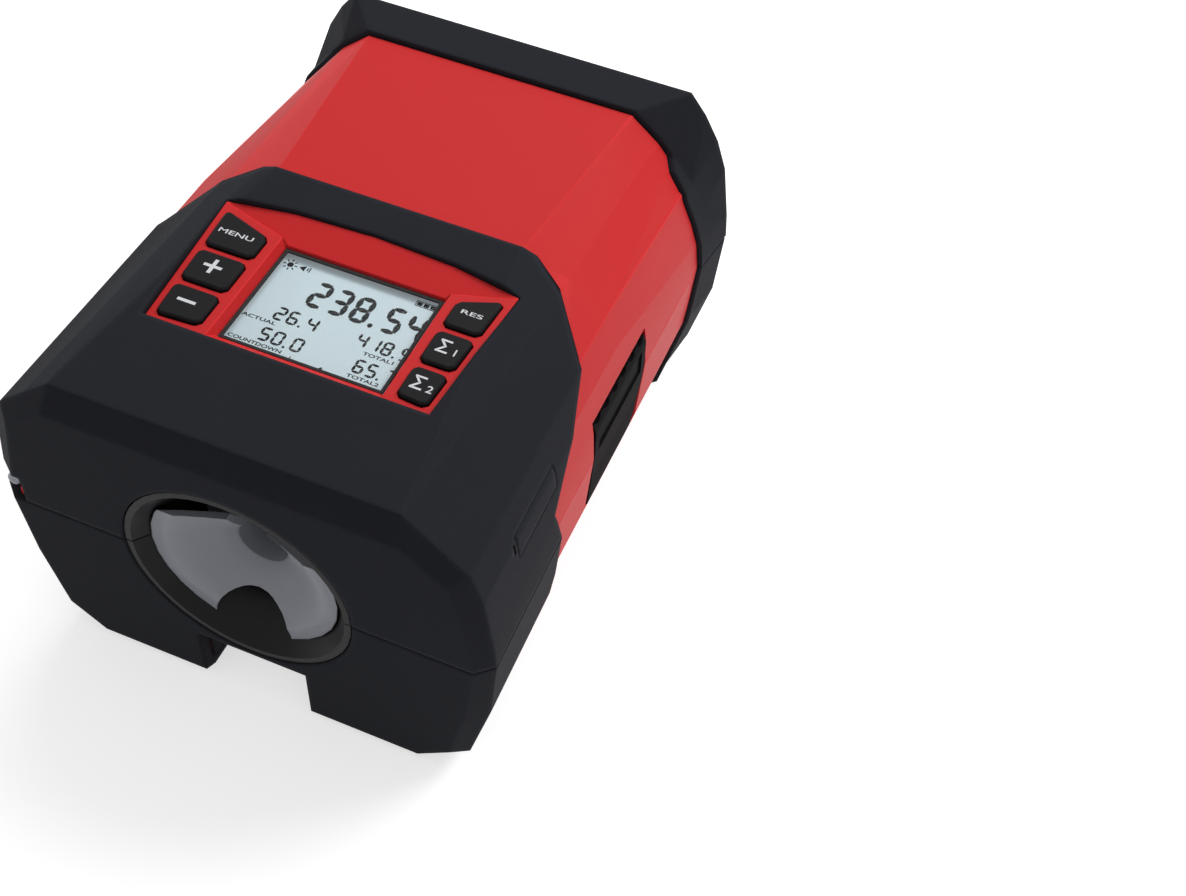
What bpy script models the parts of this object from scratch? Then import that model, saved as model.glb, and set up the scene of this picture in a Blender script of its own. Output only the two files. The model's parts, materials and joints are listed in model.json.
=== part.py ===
"""Cable length counter with a hinged lid, a sprung measuring wheel and a display.

Metres, Z up. X runs from the hinge side (-X) to the latch side (+X), Y runs along the cable
from the display end (-Y) to the far end (+Y), and the part stands on Z = 0.
The lid is closed here.
"""

import math

import bmesh
import bpy
from mathutils import Matrix, Vector

# Whole body
body_length = 0.1720
half_width = 0.0683
lower_height = 0.0532
upper_height = 0.0478
lid_seam = 0.0004
gap = 0.0003
overrun = 0.0100

# Rubber ends and moulded shells
face_rubber = 0.0040
front_bevel = 0.0039
rear_bevel = 0.0035
rubber_depth = 0.0026
rubber_proud = 0.0013
shell_wall = 0.0020
front_cap_share = 0.535
rear_cap_share = 0.1023
rear_swell_length = 0.0032
rubber_edge_bevel = 0.0006
band_side_share = 0.952
weld_distance = 0.000002
band_floor_share = rubber_proud / lower_height - 1.0

# Cable way
bore_radius = 0.0195
mouth_radius = 0.0296
funnel_length = 0.0180
funnel_wall = 0.0018
trough_wall = 0.0020
pad_reach = 0.0310
pad_length = 0.0120
pad_start = 0.0062
pad_thickness = 0.0030

# Inner plates
plate_thickness = 0.0028
plate_side_margin = 0.0047
hinge_wall = 0.0024
peg_x = 0.0330
peg_from_front = 0.0375
peg_radius = 0.0045
peg_height = 0.0058
peg_clearance = 0.0009
socket_wall = 0.0018

# Notch under the display end and its cross rod
notch_half_width = 0.0159
notch_height = 0.0204
notch_length = 0.0300
notch_wall = 0.0014
rod_radius = 0.0022
rod_from_front = 0.0085
rod_height = 0.0095

# Hinge
hinge_inset = 0.00062
hinge_rise = 0.0042
knuckle_radius = 0.0036
hinge_pin_radius = 0.0015
bay_margin = 0.0006
end_knuckle = 0.0080
spring_bay = 0.0140
lid_knuckle = 0.0155
inner_knuckle = 0.0080
knuckle_gap = 0.0005
knuckle_neck = 0.0015
hinge_wire_radius = 0.00035
hinge_coil_radius = 0.0025
hinge_spring_turns = 10

# Latch
latch_from_front = 0.0915
latch_top_width = 0.0360
latch_foot_width = 0.0314
latch_side_gap = 0.0008
latch_pivot_inset = 0.0105
latch_pivot_height = 0.0320
latch_height = 0.0332
latch_face_share = 0.955
pocket_chamfer = 0.0038
latch_boss_radius = 0.0028
latch_pin_radius = 0.0013
latch_floor_gap = 0.0004
pocket_wall = 0.0020
pocket_foot_drop = 0.0078
pocket_head_room = 0.0012
scallop_count = 6
scallop_radius = 0.0022
grip_count = 5
grip_pitch = 0.0026
grip_depth = 0.0005
latch_panel_depth = 0.0005
latch_panel_margin = 0.0028
catch_thickness = 0.0017
catch_height = 0.0063

# Well and measuring arm
wheel_place_share = 0.5407
wheel_radius = 0.0140
wheel_half_length = 0.0225
wheel_rise_share = 0.2
wheel_rib_count = 28
wheel_rib_depth = 0.0005
axle_radius = 0.0030
bearing_radius = 0.0055
bearing_width = 0.0040
end_ring_width = 0.0008
magnet_radius = 0.0062
magnet_width = 0.0010
cheek_thickness = 0.0028
arm_length_share = 0.25
pivot_drop = 0.0072
pivot_radius = 0.0025
arm_bridge_length = 0.0120
arm_bridge_height = 0.0040
arm_wire_radius = 0.0004
arm_coil_radius = 0.0034
arm_spring_turns = 3
arm_spring_pitch = 0.0013
lug_thickness = 0.0030
lug_radius = 0.0060
sensor_size = 0.0120
board_thickness = 0.0016
well_margin = 0.0020
well_front_gap = 0.0025
well_rear_gap = 0.0015
slot_length_share = 0.82
slot_width = 0.0110

# Cable guide inserts
guide_length = 0.0460
guide_wall = 0.0018
guide_channel_radius = 0.0070
guide_play = 0.0006
guide_arch_radius = 0.0110
guide_rise = 0.0130

# Chamber over the wheel
chamber_half_width = 0.0340
chamber_depth = 0.0223
chamber_taper = 0.0050
chamber_end_gap = 0.0120
chamber_rear_gap = 0.0025
slit_count = 3
slit_width = 0.0016
slit_pitch = 0.0065

# Display
bezel_rear_half_width = 0.0409
bezel_front_half_width = 0.0379
bezel_place_share = 0.190
bezel_length_share = 0.2547
bezel_bow = 0.0035
bezel_bow_share = 0.75
bezel_sink = 0.0015
bezel_height = 0.0085
hood_foot = 0.0015
screen_half_width = 0.0223
screen_offset = 0.0018
screen_place_share = 0.2100
screen_length_share = 0.1975
screen_depth = 0.0023
screen_flare = 0.0012
screen_rear_flare = 0.0007
screen_front_rim = 0.0005
screen_lip = 0.0006
pane_margin = 0.0012
pane_thickness = 0.0006
gasket_width = 0.0008
gasket_height = 0.0005
lcd_thickness = 0.0059
key_side_margin = 0.0039
key_edge_margin = 0.0020
key_length_share = 0.242
key_pitch_share = 0.290
key_travel = 0.0008
key_proud = 0.0012
key_height = 0.0060
key_stem_radius = 0.0028
key_slant = 0.0046
key_front_slant_share = 0.15
key_corner = 0.0011
key_bevel = 0.0005

# Electronics and power
cell_radius = 0.0070
cell_length = 0.0500
cell_gap = 0.0015
cell_count = 3
tray_thickness = 0.0012
tray_lip = 0.0050
buzzer_radius = 0.0045
buzzer_height = 0.0040
port_length = 0.0230
port_height = 0.0070
port_place_share = 0.2006
port_rise = 0.0195
port_side_share = 0.923
port_wall = 0.0014

# Places worked out from the sizes above
front = -body_length / 2
rear = body_length / 2
parting = lower_height
top = lower_height + upper_height
half_seam = lid_seam / 2
front_cap_length = front_cap_share * body_length
rear_cap_length = rear_cap_share * body_length
cap_edge = front + front_cap_length
rear_edge = rear - rear_cap_length
hinge_x = -half_width * band_side_share + hinge_inset
hinge_z = parting + hinge_rise
bay_radius = knuckle_radius + bay_margin
latch_pivot_x = half_width - latch_pivot_inset
pocket_floor = latch_pivot_x - latch_boss_radius - latch_floor_gap
latch_y = front + latch_from_front
wheel_y = front + wheel_place_share * body_length
arm_length = arm_length_share * body_length
wheel_z = parting + bore_radius * wheel_rise_share - wheel_radius
pivot_y = wheel_y + arm_length
pivot_z = parting - pivot_drop
cheek_inner = wheel_half_length + end_ring_width + magnet_width + 3 * gap
cheek_outer = cheek_inner + cheek_thickness
well_half = cheek_outer + well_margin
well_front = wheel_y - wheel_radius - well_front_gap
well_rear = pivot_y + well_rear_gap + lug_radius
deck_top = parting - half_seam
deck_bottom = deck_top - plate_thickness
roof_bottom = parting + half_seam
roof_top = roof_bottom + plate_thickness
pad_end = pad_start + pad_length
slot_length = slot_length_share * (rear - pad_end - well_rear)
plate_half = half_width * band_side_share - plate_side_margin
plate_hinge_edge = -half_width * band_side_share + plate_side_margin + hinge_wall + gap
core_front = front + face_rubber + gap
core_rear = rear - face_rubber - gap
inner_front = core_front + shell_wall
inner_rear = core_rear - shell_wall
chamber_front = well_front - chamber_end_gap
chamber_rear = well_rear + chamber_rear_gap
chamber_top = parting + chamber_depth
bezel_top = top - bezel_sink
bezel_bottom = bezel_top - bezel_height
screen_floor = bezel_top - screen_depth
screen_front = front + screen_place_share * body_length
screen_rear = screen_front + screen_length_share * body_length
bezel_front_y = front + bezel_place_share * body_length
bezel_length = bezel_length_share * body_length
bezel_rear_y = bezel_front_y + bezel_length
key_length = key_length_share * bezel_length
key_pitch = key_pitch_share * bezel_length
cell_pitch = 2 * cell_radius + cell_gap
port_floor = half_width * port_side_share - rubber_depth + port_wall

# Outlines of the body, right half, from the top down: shares of the half width and of the
# height above or below the parting line
end_shares = [(0.663, 1.0), (0.784, 0.855), (0.905, 0.709), (0.952, 0.521), (0.990, 0.167),
              (1.0, 0.0), (0.978, -0.414), (0.893, -0.855), (0.739, -1.0)]
face_shares = [(0.684, 0.841), (0.768, 0.748), (0.852, 0.655), (0.869, 0.521), (0.915, 0.167),
               (0.937, 0.0), (0.905, -0.400), (0.835, -0.806), (0.694, -0.953)]
band_front_shares = [(0.512, 0.977), (0.695, 0.879), (0.864, 0.711), (0.915, 0.494),
                     (0.944, 0.200), (band_side_share, 0.0), (0.930, -0.414), (0.846, -0.855),
                     (0.725, band_floor_share)]
band_rear_shares = [(0.592, 0.973), (0.715, 0.828), (0.858, 0.584), (0.912, 0.362),
                    (0.940, 0.200), (band_side_share, 0.0), (0.930, -0.414), (0.846, -0.855),
                    (0.725, band_floor_share)]
rear_end_shares = [(0.767, 1.0), (0.840, 0.870), (0.905, 0.709), (0.952, 0.521), (0.990, 0.167),
                   (1.0, 0.0), (0.978, -0.414), (0.893, -0.855), (0.739, -1.0)]

# Edge of the rubber seen from the side: shares of the cap's length and of the height
front_edge_shares = [(1.0, 1.2), (1.0, 0.973), (0.793, 0.749), (0.603, 0.467), (0.467, 0.251),
                     (0.500, 0.0), (0.495, -0.310), (0.430, -0.560), (0.390, -1.2)]
rear_edge_shares = [(1.0, 1.2), (1.0, 0.760), (1.200, 0.700), (1.300, 0.560), (1.130, 0.160),
                    (1.080, 0.0), (1.130, -0.310), (1.500, -0.800), (1.700, -1.2)]

# Arm cheek seen from the side: shares of the arm length from the wheel axle (0) to the pivot
# (1), and heights as shares of the wheel radius above the axle
cheek_shares = [(-0.300, 0.21), (-0.230, -0.64), (0.0, -0.96), (0.280, -1.14), (0.740, -1.14),
                (0.977, -0.36), (1.163, -0.07), (1.163, 0.79), (1.116, 0.89), (0.884, 0.93),
                (0.535, 1.43), (0.419, 1.49), (0.302, 1.39)]

# Latch seen from the end: shares of the reach from its pivot to its face, and of its height
latch_face_shares = [(0.72, -0.085), (0.80, 0.10), (0.90, 0.39), (0.97, 0.66), (0.95, 0.93),
                     (0.84, 1.0)]
latch_back_shares = [(0.14, 1.0), (0.0, 0.965), (0.0, 0.87), (0.42, 0.77), (0.44, 0.60),
                     (0.38, 0.30)]
latch_boss_angles = (60, 120, 180, 240)
latch_panel_shares = (0.64, 0.90)
grip_top_share = 0.30
taper_top_share = 0.50

# The hood's cutter past its inner and outer corners, as shares of the fan's sides
hood_reach_shares = (0.15, 1.0)

# Chamber slits: lower end, upper end and lean, as shares of the chamber's depth
slit_shares = (0.25, 0.80, 0.30)

# Cable way: how hollow the flares are, and parts of the guide inserts as shares of their length,
# of their outer radius, of their wall and of their channel
flare_power = 1.6
guide_flare_power = 1.3
guide_flare_share = 0.6
guide_wall_shares = (0.5, 1.0)
guide_floor_start_share = 0.3
guide_floor_width_share = 0.98
guide_bore_share = 0.6
guide_slot_share = 0.8

# Catch bar's rib: thickness, foot and head as shares of the bar; arm's bridge: foot as a share
# of the wheel radius, place as a share of the arm length
catch_rib_shares = (1.3, 0.45, 0.60)
arm_bridge_shares = (1.14, 0.50)

# Colours as linear red, green and blue, with roughness and metallic values
RED = ("red polymer", (0.60, 0.045, 0.045), 0.35, 0.0)
RUBBER = ("black rubber", (0.022, 0.024, 0.027), 0.70, 0.0)
BLACK = ("black polymer", (0.014, 0.015, 0.017), 0.35, 0.0)
GREY = ("grey polymer", (0.25, 0.26, 0.29), 0.50, 0.0)
STEEL = ("polished steel", (0.55, 0.56, 0.58), 0.25, 1.0)
SPRING = ("spring steel", (0.30, 0.30, 0.31), 0.30, 1.0)
BOARD = ("green circuit board", (0.010, 0.12, 0.045), 0.50, 0.0)
GLASS = ("clear pane", (0.60, 0.70, 0.74), 0.10, 0.0)
SCREEN = ("display cell", (0.50, 0.62, 0.66), 0.30, 0.0)
FOIL = ("cell jacket", (0.10, 0.11, 0.14), 0.35, 0.5)


def clear_scene():
    """Remove whatever the file holds."""
    for item in list(bpy.data.objects):
        bpy.data.objects.remove(item, do_unlink=True)


def material(look):
    """A Principled material from a colour record, made once."""
    name, colour, roughness, metallic = look
    made = bpy.data.materials.get(name)
    if made is None:
        made = bpy.data.materials.new(name)
        made.use_nodes = True
        shader = made.node_tree.nodes["Principled BSDF"]
        shader.inputs["Base Color"].default_value = (*colour, 1.0)
        shader.inputs["Roughness"].default_value = roughness
        shader.inputs["Metallic"].default_value = metallic
    return made


def new_object(name, mesh):
    """Link a mesh into the scene as an object."""
    thing = bpy.data.objects.new(name, mesh)
    bpy.context.collection.objects.link(thing)
    return thing


def from_bmesh(name, shape):
    """Turn a bmesh into an object with its faces pointing out."""
    bmesh.ops.recalc_face_normals(shape, faces=shape.faces)
    mesh = bpy.data.meshes.new(name)
    shape.to_mesh(mesh)
    shape.free()
    return new_object(name, mesh)


def outline_at(shares, grow=0.0):
    """The whole body outline in X and Z from one list of shares, grown outwards by a length."""
    right = []
    for across, up in shares:
        height = upper_height if up > 0 else lower_height
        right.append((across * half_width, parting + up * height))
    loop = right + [(-x, z) for x, z in reversed(right)]
    return offset_loop(loop, grow) if grow else loop


def offset_loop(loop, grow):
    """Move each side of a closed clockwise outline outwards and join the sides again."""
    count = len(loop)
    lines = []
    for i in range(count):
        a, b = Vector(loop[i]), Vector(loop[(i + 1) % count])
        along = (b - a).normalized()
        outward = Vector((-along.y, along.x))
        lines.append((a + outward * grow, along))
    moved = []
    for i in range(count):
        (p, d), (q, e) = lines[i - 1], lines[i]
        cross = d.x * e.y - d.y * e.x
        t = ((q.x - p.x) * e.y - (q.y - p.y) * e.x) / cross
        moved.append((p.x + d.x * t, p.y + d.y * t))
    return moved


def loft(name, sections):
    """A closed solid through outlines in X and Z that stand at places along Y."""
    shape = bmesh.new()
    rings = [[shape.verts.new((x, y, z)) for x, z in loop] for y, loop in sections]
    count = len(rings[0])
    for near, far in zip(rings, rings[1:]):
        for i in range(count):
            j = (i + 1) % count
            shape.faces.new((near[i], near[j], far[j], far[i]))
    shape.faces.new(rings[0])
    shape.faces.new(rings[-1])
    return from_bmesh(name, shape)


def prism(name, outline, axis, low, high):
    """A flat outline drawn out along one axis. The outline's two values fill the other axes."""
    shape = bmesh.new()
    rings = []
    for place in (low, high):
        ring = []
        for a, b in outline:
            point = {"X": (place, a, b), "Y": (a, place, b), "Z": (a, b, place)}[axis]
            ring.append(shape.verts.new(point))
        rings.append(ring)
    count = len(outline)
    for i in range(count):
        j = (i + 1) % count
        shape.faces.new((rings[0][i], rings[0][j], rings[1][j], rings[1][i]))
    shape.faces.new(rings[0])
    shape.faces.new(rings[1])
    return from_bmesh(name, shape)


def box(name, x0, x1, y0, y1, z0, z1):
    """A block between two corners."""
    return prism(name, [(x0, y0), (x1, y0), (x1, y1), (x0, y1)], "Z", z0, z1)


def circle(a, b, radius, steps=32, start=0.0):
    """Points of a circle about (a, b)."""
    turn = 2 * math.pi / steps
    return [(a + radius * math.cos(start + turn * i), b + radius * math.sin(start + turn * i))
            for i in range(steps)]


def rod(name, axis, a, b, radius, low, high, steps=32):
    """A round bar along one axis."""
    return prism(name, circle(a, b, radius, steps), axis, low, high)


def turned(name, profile, steps=40):
    """A solid turned about the cable line from (Y, radius) points; the ends are closed."""
    shape = bmesh.new()
    rings = []
    for y, radius in profile:
        rings.append([shape.verts.new((x, y, z)) for x, z in circle(0.0, parting, radius, steps)])
    for near, far in zip(rings, rings[1:]):
        for i in range(steps):
            j = (i + 1) % steps
            shape.faces.new((near[i], near[j], far[j], far[i]))
    shape.faces.new(rings[0])
    shape.faces.new(rings[-1])
    return from_bmesh(name, shape)


def boolean(target, tools, operation):
    """Apply Booleans with a list of solids, then remove those solids."""
    for tool in tools:
        tool.display_type = "WIRE"
        tool.hide_render = True
        step = target.modifiers.new("cut", "BOOLEAN")
        step.operation = operation
        step.solver = "EXACT"
        step.object = tool
    graph = bpy.context.evaluated_depsgraph_get()
    mesh = bpy.data.meshes.new_from_object(target.evaluated_get(graph))
    target.modifiers.clear()
    target.data = mesh
    for tool in tools:
        bpy.data.objects.remove(tool, do_unlink=True)
    return target


def cut(target, *tools):
    return boolean(target, tools, "DIFFERENCE")


def join(target, *tools):
    return boolean(target, tools, "UNION")


def keep(target, *tools):
    return boolean(target, tools, "INTERSECT")


def finish(thing, look, origin=(0.0, 0.0, 0.0), bevel=0.0, smooth=35.0):
    """Clean the mesh, set its material and origin, round its edges and shade it."""
    shape = bmesh.new()
    shape.from_mesh(thing.data)
    bmesh.ops.remove_doubles(shape, verts=shape.verts, dist=weld_distance)
    bmesh.ops.dissolve_limit(shape, angle_limit=math.radians(0.5), verts=shape.verts,
                             edges=shape.edges)
    shape.to_mesh(thing.data)
    shape.free()
    shift = Vector(origin)
    thing.data.transform(Matrix.Translation(-shift))
    thing.location = shift
    thing.data.materials.clear()
    thing.data.materials.append(material(look))
    if bevel:
        edge = thing.modifiers.new("edge", "BEVEL")
        edge.width = bevel
        edge.segments = 1
        edge.limit_method = "ANGLE"
        edge.angle_limit = math.radians(40.0)
    thing.data.shade_smooth()
    thing.data.set_sharp_from_angle(angle=math.radians(smooth))
    return thing


def upper_space():
    """The space above the lid seam."""
    return box("above", -2 * half_width, 2 * half_width, front - overrun, rear + overrun,
               roof_bottom, top + overrun)


def lower_space():
    """The space below the lid seam."""
    return box("below", -2 * half_width, 2 * half_width, front - overrun, rear + overrun,
               -overrun, deck_top)


def rubber_form():
    """Outer form of the rubber over the display end."""
    return loft("form", [
        (front, outline_at(face_shares)),
        (front + front_bevel, outline_at(end_shares)),
        (cap_edge + gap, outline_at(band_front_shares, rubber_proud))])


def rear_rubber_form():
    """Outer form of the rubber over the far end."""
    return loft("form", [
        (rear_edge - rear_cap_length, outline_at(band_rear_shares, rubber_proud)),
        (rear_edge, outline_at(band_rear_shares, rubber_proud)),
        (rear - rear_swell_length, outline_at(rear_end_shares)),
        (rear, outline_at(rear_end_shares, -rear_bevel))])


def band_form():
    """Outer form of the red housing between the rubber ends."""
    return loft("form", [
        (core_front + shell_wall, outline_at(band_front_shares)),
        (cap_edge, outline_at(band_front_shares)),
        (rear_edge, outline_at(band_rear_shares)),
        (core_rear - shell_wall, outline_at(band_rear_shares))])


def core_form(grow, low, high):
    """The red housing where the rubber covers it, grown by a length, between two ends."""
    return loft("form", [
        (low, outline_at(band_front_shares, grow)),
        (cap_edge, outline_at(band_front_shares, grow)),
        (rear_edge, outline_at(band_rear_shares, grow)),
        (high, outline_at(band_rear_shares, grow))])


def edge_points(shares, start, reach):
    """The rubber's edge in Y and Z."""
    points = []
    for along, up in shares:
        height = upper_height if up > 0 else lower_height
        points.append((start + along * reach, parting + up * height))
    return points


def inside_core():
    """The red housing where the rubber covers it, drawn in a little to trim what joins it."""
    return core_form(-rubber_depth - gap, core_front + gap, core_rear - gap)


def front_cap_space(clear=0.0):
    """Everything in front of the rubber edge of the display end."""
    edge = edge_points(front_edge_shares, front, front_cap_length)
    edge = [(y + clear, z) for y, z in edge]
    far = front - overrun
    return prism("space", edge + [(far, edge[-1][1]), (far, edge[0][1])], "X",
                 -2 * half_width, 2 * half_width)


def rear_cap_space(clear=0.0):
    """Everything behind the rubber edge of the far end."""
    edge = edge_points(rear_edge_shares, rear, -rear_cap_length)
    edge = [(y - clear, z) for y, z in edge]
    far = rear + overrun
    return prism("space", edge + [(far, edge[-1][1]), (far, edge[0][1])], "X",
                 -2 * half_width, 2 * half_width)


def hinge_relief(low, high, rise):
    """The corner along the hinge that the lid leaves free."""
    return box("relief", -2 * half_width, hinge_x + bay_radius, low, high,
               parting - overrun, hinge_z + rise)


def bezel_outline(grow):
    """Plan of the red tray around the display: a trapezium with a bowed far side."""
    bowed = bezel_rear_y + bezel_bow * bezel_bow_share
    loop = [(-bezel_front_half_width, bezel_front_y), (-bezel_rear_half_width, bezel_rear_y),
            (-screen_half_width, bowed), (0.0, bezel_rear_y + bezel_bow),
            (screen_half_width, bowed), (bezel_rear_half_width, bezel_rear_y),
            (bezel_front_half_width, bezel_front_y)]
    return offset_loop(loop, grow)


def bezel_window():
    """The tray's place in the rubber and in the housing."""
    return prism("window", bezel_outline(gap), "Z", bezel_bottom - gap, top + overrun)


def latch_pocket(side):
    """The recess for the latch: its lower part in the base, its upper part in the lid."""
    foot = latch_pivot_height - pocket_foot_drop
    head = latch_pivot_height + latch_height + pocket_head_room
    out = half_width + overrun
    low = [(pocket_floor, parting + overrun), (pocket_floor, foot + latch_boss_radius),
           (pocket_floor + pocket_chamfer, foot), (out, foot - latch_boss_radius),
           (out, parting + overrun)]
    high = [(pocket_floor, parting - overrun), (pocket_floor, head - pocket_chamfer),
            (pocket_floor + pocket_chamfer, head), (out, head + latch_boss_radius),
            (out, parting - overrun)]
    half = latch_top_width / 2 + latch_side_gap
    return prism("pocket", low if side == "low" else high, "Y", latch_y - half, latch_y + half)


def latch_block(low, high):
    """The red wall around the latch pocket, inside the housing."""
    half = latch_top_width / 2 + latch_side_gap + pocket_wall
    block = box("block", pocket_floor - pocket_wall, half_width, latch_y - half, latch_y + half,
                low, high)
    return keep(block, inside_core())


def make_bumpers():
    """Four rubber end caps, each a skin over the red housing."""
    mouth = mouth_radius + funnel_wall + gap
    for end in ("front", "rear"):
        for half in ("lower", "upper"):
            name = f"{end}_bumper_{half}"
            skin = rubber_form() if end == "front" else rear_rubber_form()
            skin.name = name
            space = front_cap_space() if end == "front" else rear_cap_space()
            keep(skin, space, lower_space() if half == "lower" else upper_space())
            if name == "front_bumper_upper":
                cut(skin, bezel_window(), port_block(gap))
            cut(skin, core_form(gap - rubber_depth, core_front - gap, core_rear + gap),
                rod("mouth", "Y", 0.0, parting, mouth, front - overrun, rear + overrun, 64))
            if half == "upper":
                cut(skin, hinge_relief(front - overrun, rear + overrun,
                                       hinge_pin_radius + bay_margin),
                    hinge_relief(core_front - gap, core_rear + gap, bay_radius))
            if name == "front_bumper_lower":
                cut(skin, box("notch", -notch_half_width, notch_half_width, front - overrun,
                              front + notch_length, -overrun, notch_height))
            finish(skin, RUBBER, bevel=rubber_edge_bevel)


def port_block(grow):
    """The elongated place of the port cover in the rubber's latch side."""
    half = port_length / 2 + grow
    y = front + port_place_share * body_length
    z = parting + port_rise
    return box("port", port_floor - grow, half_width + overrun, y - half,
               y + half, z - grow, z + port_height + grow)


def knuckle_ranges():
    """Places of the hinge parts along Y, from each end inwards."""
    starts = [("end", end_knuckle), ("spring", spring_bay), ("lid", lid_knuckle),
              ("inner", inner_knuckle)]
    ranges = {}
    for end, edge, way in (("front", core_front + shell_wall, 1), ("rear",
                                                                 core_rear - shell_wall, -1)):
        place = edge
        for kind, length in starts:
            near, far = place, place + way * length
            ranges[end, kind] = (min(near, far), max(near, far))
            place = far + way * knuckle_gap
    return ranges


def make_lower_shell():
    """Red lower housing: outer form, hollow, latch pocket, front notch and hinge knuckles."""
    shell = core_form(-rubber_depth, core_front, core_rear)
    shell.name = "lower_shell"
    band = band_form()
    cut(band, front_cap_space(gap + gap), rear_cap_space(gap + gap))
    join(shell, band)
    keep(shell, lower_space())
    cut(shell, core_form(-rubber_depth - shell_wall, inner_front, inner_rear))
    join(shell, latch_block(latch_pivot_height - pocket_foot_drop - 2 * pocket_wall,
                            deck_bottom - gap))
    notch_side = notch_half_width + notch_wall + gap
    notch_box = box("notch_box", -notch_side, notch_side, core_front, front + notch_length
                    + notch_wall, 0.0, notch_height + notch_wall)
    join(shell, keep(notch_box, inside_core()))
    cut(shell, latch_pocket("low"),
        box("notch", -notch_half_width, notch_half_width, front - overrun,
            front + notch_length, -overrun, notch_height),
        rod("mouth", "Y", 0.0, parting, mouth_radius + funnel_wall + gap,
            front - overrun, inner_front + gap, 64),
        rod("mouth", "Y", 0.0, parting, mouth_radius + funnel_wall + gap,
            inner_rear - gap, rear + overrun, 64),
        rod("rod_seat", "X", front + rod_from_front, rod_height, rod_radius + gap,
            -notch_half_width - notch_wall, notch_half_width + notch_wall, 20),
        latch_pin_solid(gap))
    ranges = knuckle_ranges()
    for low, high in (ranges["front", "end"], ranges["rear", "end"],
                      (ranges["front", "inner"][0], ranges["rear", "inner"][1])):
        join(shell, base_knuckle(low, high))
    for low, high in pin_ranges():
        cut(shell, rod("bore", "Y", hinge_x, hinge_z, hinge_pin_radius + gap, low - gap,
                       high + gap, 16))
    finish(shell, RED)


def pin_ranges():
    """Ends of the two hinge pins along Y."""
    ranges = knuckle_ranges()
    return [(ranges["front", "end"][0] - gap, ranges["front", "inner"][1]),
            (ranges["rear", "inner"][0], ranges["rear", "end"][1] + gap)]


def base_knuckle(low, high):
    """One hinge barrel on the base with the neck that stands on the housing wall."""
    barrel = rod("barrel", "Y", hinge_x, hinge_z, knuckle_radius, low, high, 24)
    right = hinge_x + knuckle_radius
    foot = box("foot", hinge_x - knuckle_radius, right, low, high, deck_top + gap, hinge_z)
    neck = box("neck", right - knuckle_neck, right, low, high, deck_top - hinge_rise, hinge_z)
    return join(barrel, foot, neck)


def make_upper_shell():
    """Red upper housing: outer form, hollow, pocket, display opening and hinge knuckles."""
    shell = core_form(-rubber_depth, core_front, core_rear)
    shell.name = "upper_shell"
    band = band_form()
    cut(band, front_cap_space(gap + gap), rear_cap_space(gap + gap))
    join(shell, band)
    keep(shell, upper_space())
    cut(shell, core_form(-rubber_depth - shell_wall, inner_front, inner_rear))
    inner = hinge_x + bay_radius
    wall = box("hinge_wall", inner - shell_wall, inner + hinge_wall, core_front, core_rear,
               roof_bottom, hinge_z + 2 * bay_radius)
    join(shell, latch_block(roof_top + gap, latch_pivot_height + latch_height
                            + pocket_head_room + latch_boss_radius + pocket_wall),
         keep(wall, inside_core()))
    cut(shell, latch_pocket("high"),
        hinge_relief(front - overrun, rear + overrun, bay_radius),
        rod("mouth", "Y", 0.0, parting, mouth_radius + funnel_wall + gap,
            front - overrun, inner_front + gap, 64),
        rod("mouth", "Y", 0.0, parting, mouth_radius + funnel_wall + gap,
            inner_rear - gap, rear + overrun, 64),
        bezel_window())
    for (end, kind), (low, high) in knuckle_ranges().items():
        if kind == "lid":
            barrel = rod("barrel", "Y", hinge_x, hinge_z, knuckle_radius, low, high, 24)
            arm = box("arm", hinge_x, inner + hinge_wall / 2, low, high,
                      hinge_z - knuckle_radius / 2, hinge_z + knuckle_radius / 2)
            join(barrel, arm)
            join(shell, barrel)
            cut(shell, rod("bore", "Y", hinge_x, hinge_z, hinge_pin_radius + gap, low - gap,
                           high + gap, 16))
    finish(shell, RED, origin=(hinge_x, 0.0, hinge_z))


def plate_outline():
    """Plan of the inner plates, with the corners taken off."""
    corner = plate_side_margin
    left, right = plate_hinge_edge, plate_half - gap
    low, high = inner_front + gap, inner_rear - gap
    return [(left, low), (right - corner, low), (right, low + corner), (right, high - corner),
            (right - corner, high), (left, high)]


def funnel_pads(grow, low, high):
    """Screw pads on both sides of the two funnels."""
    pads = []
    for y0, y1 in ((front + pad_start, front + pad_end), (rear - pad_end, rear - pad_start)):
        pads.append(box("pad", -pad_reach - grow, pad_reach + grow, y0 - grow, y1 + grow,
                        low - grow, high + grow))
    return pads


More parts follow.
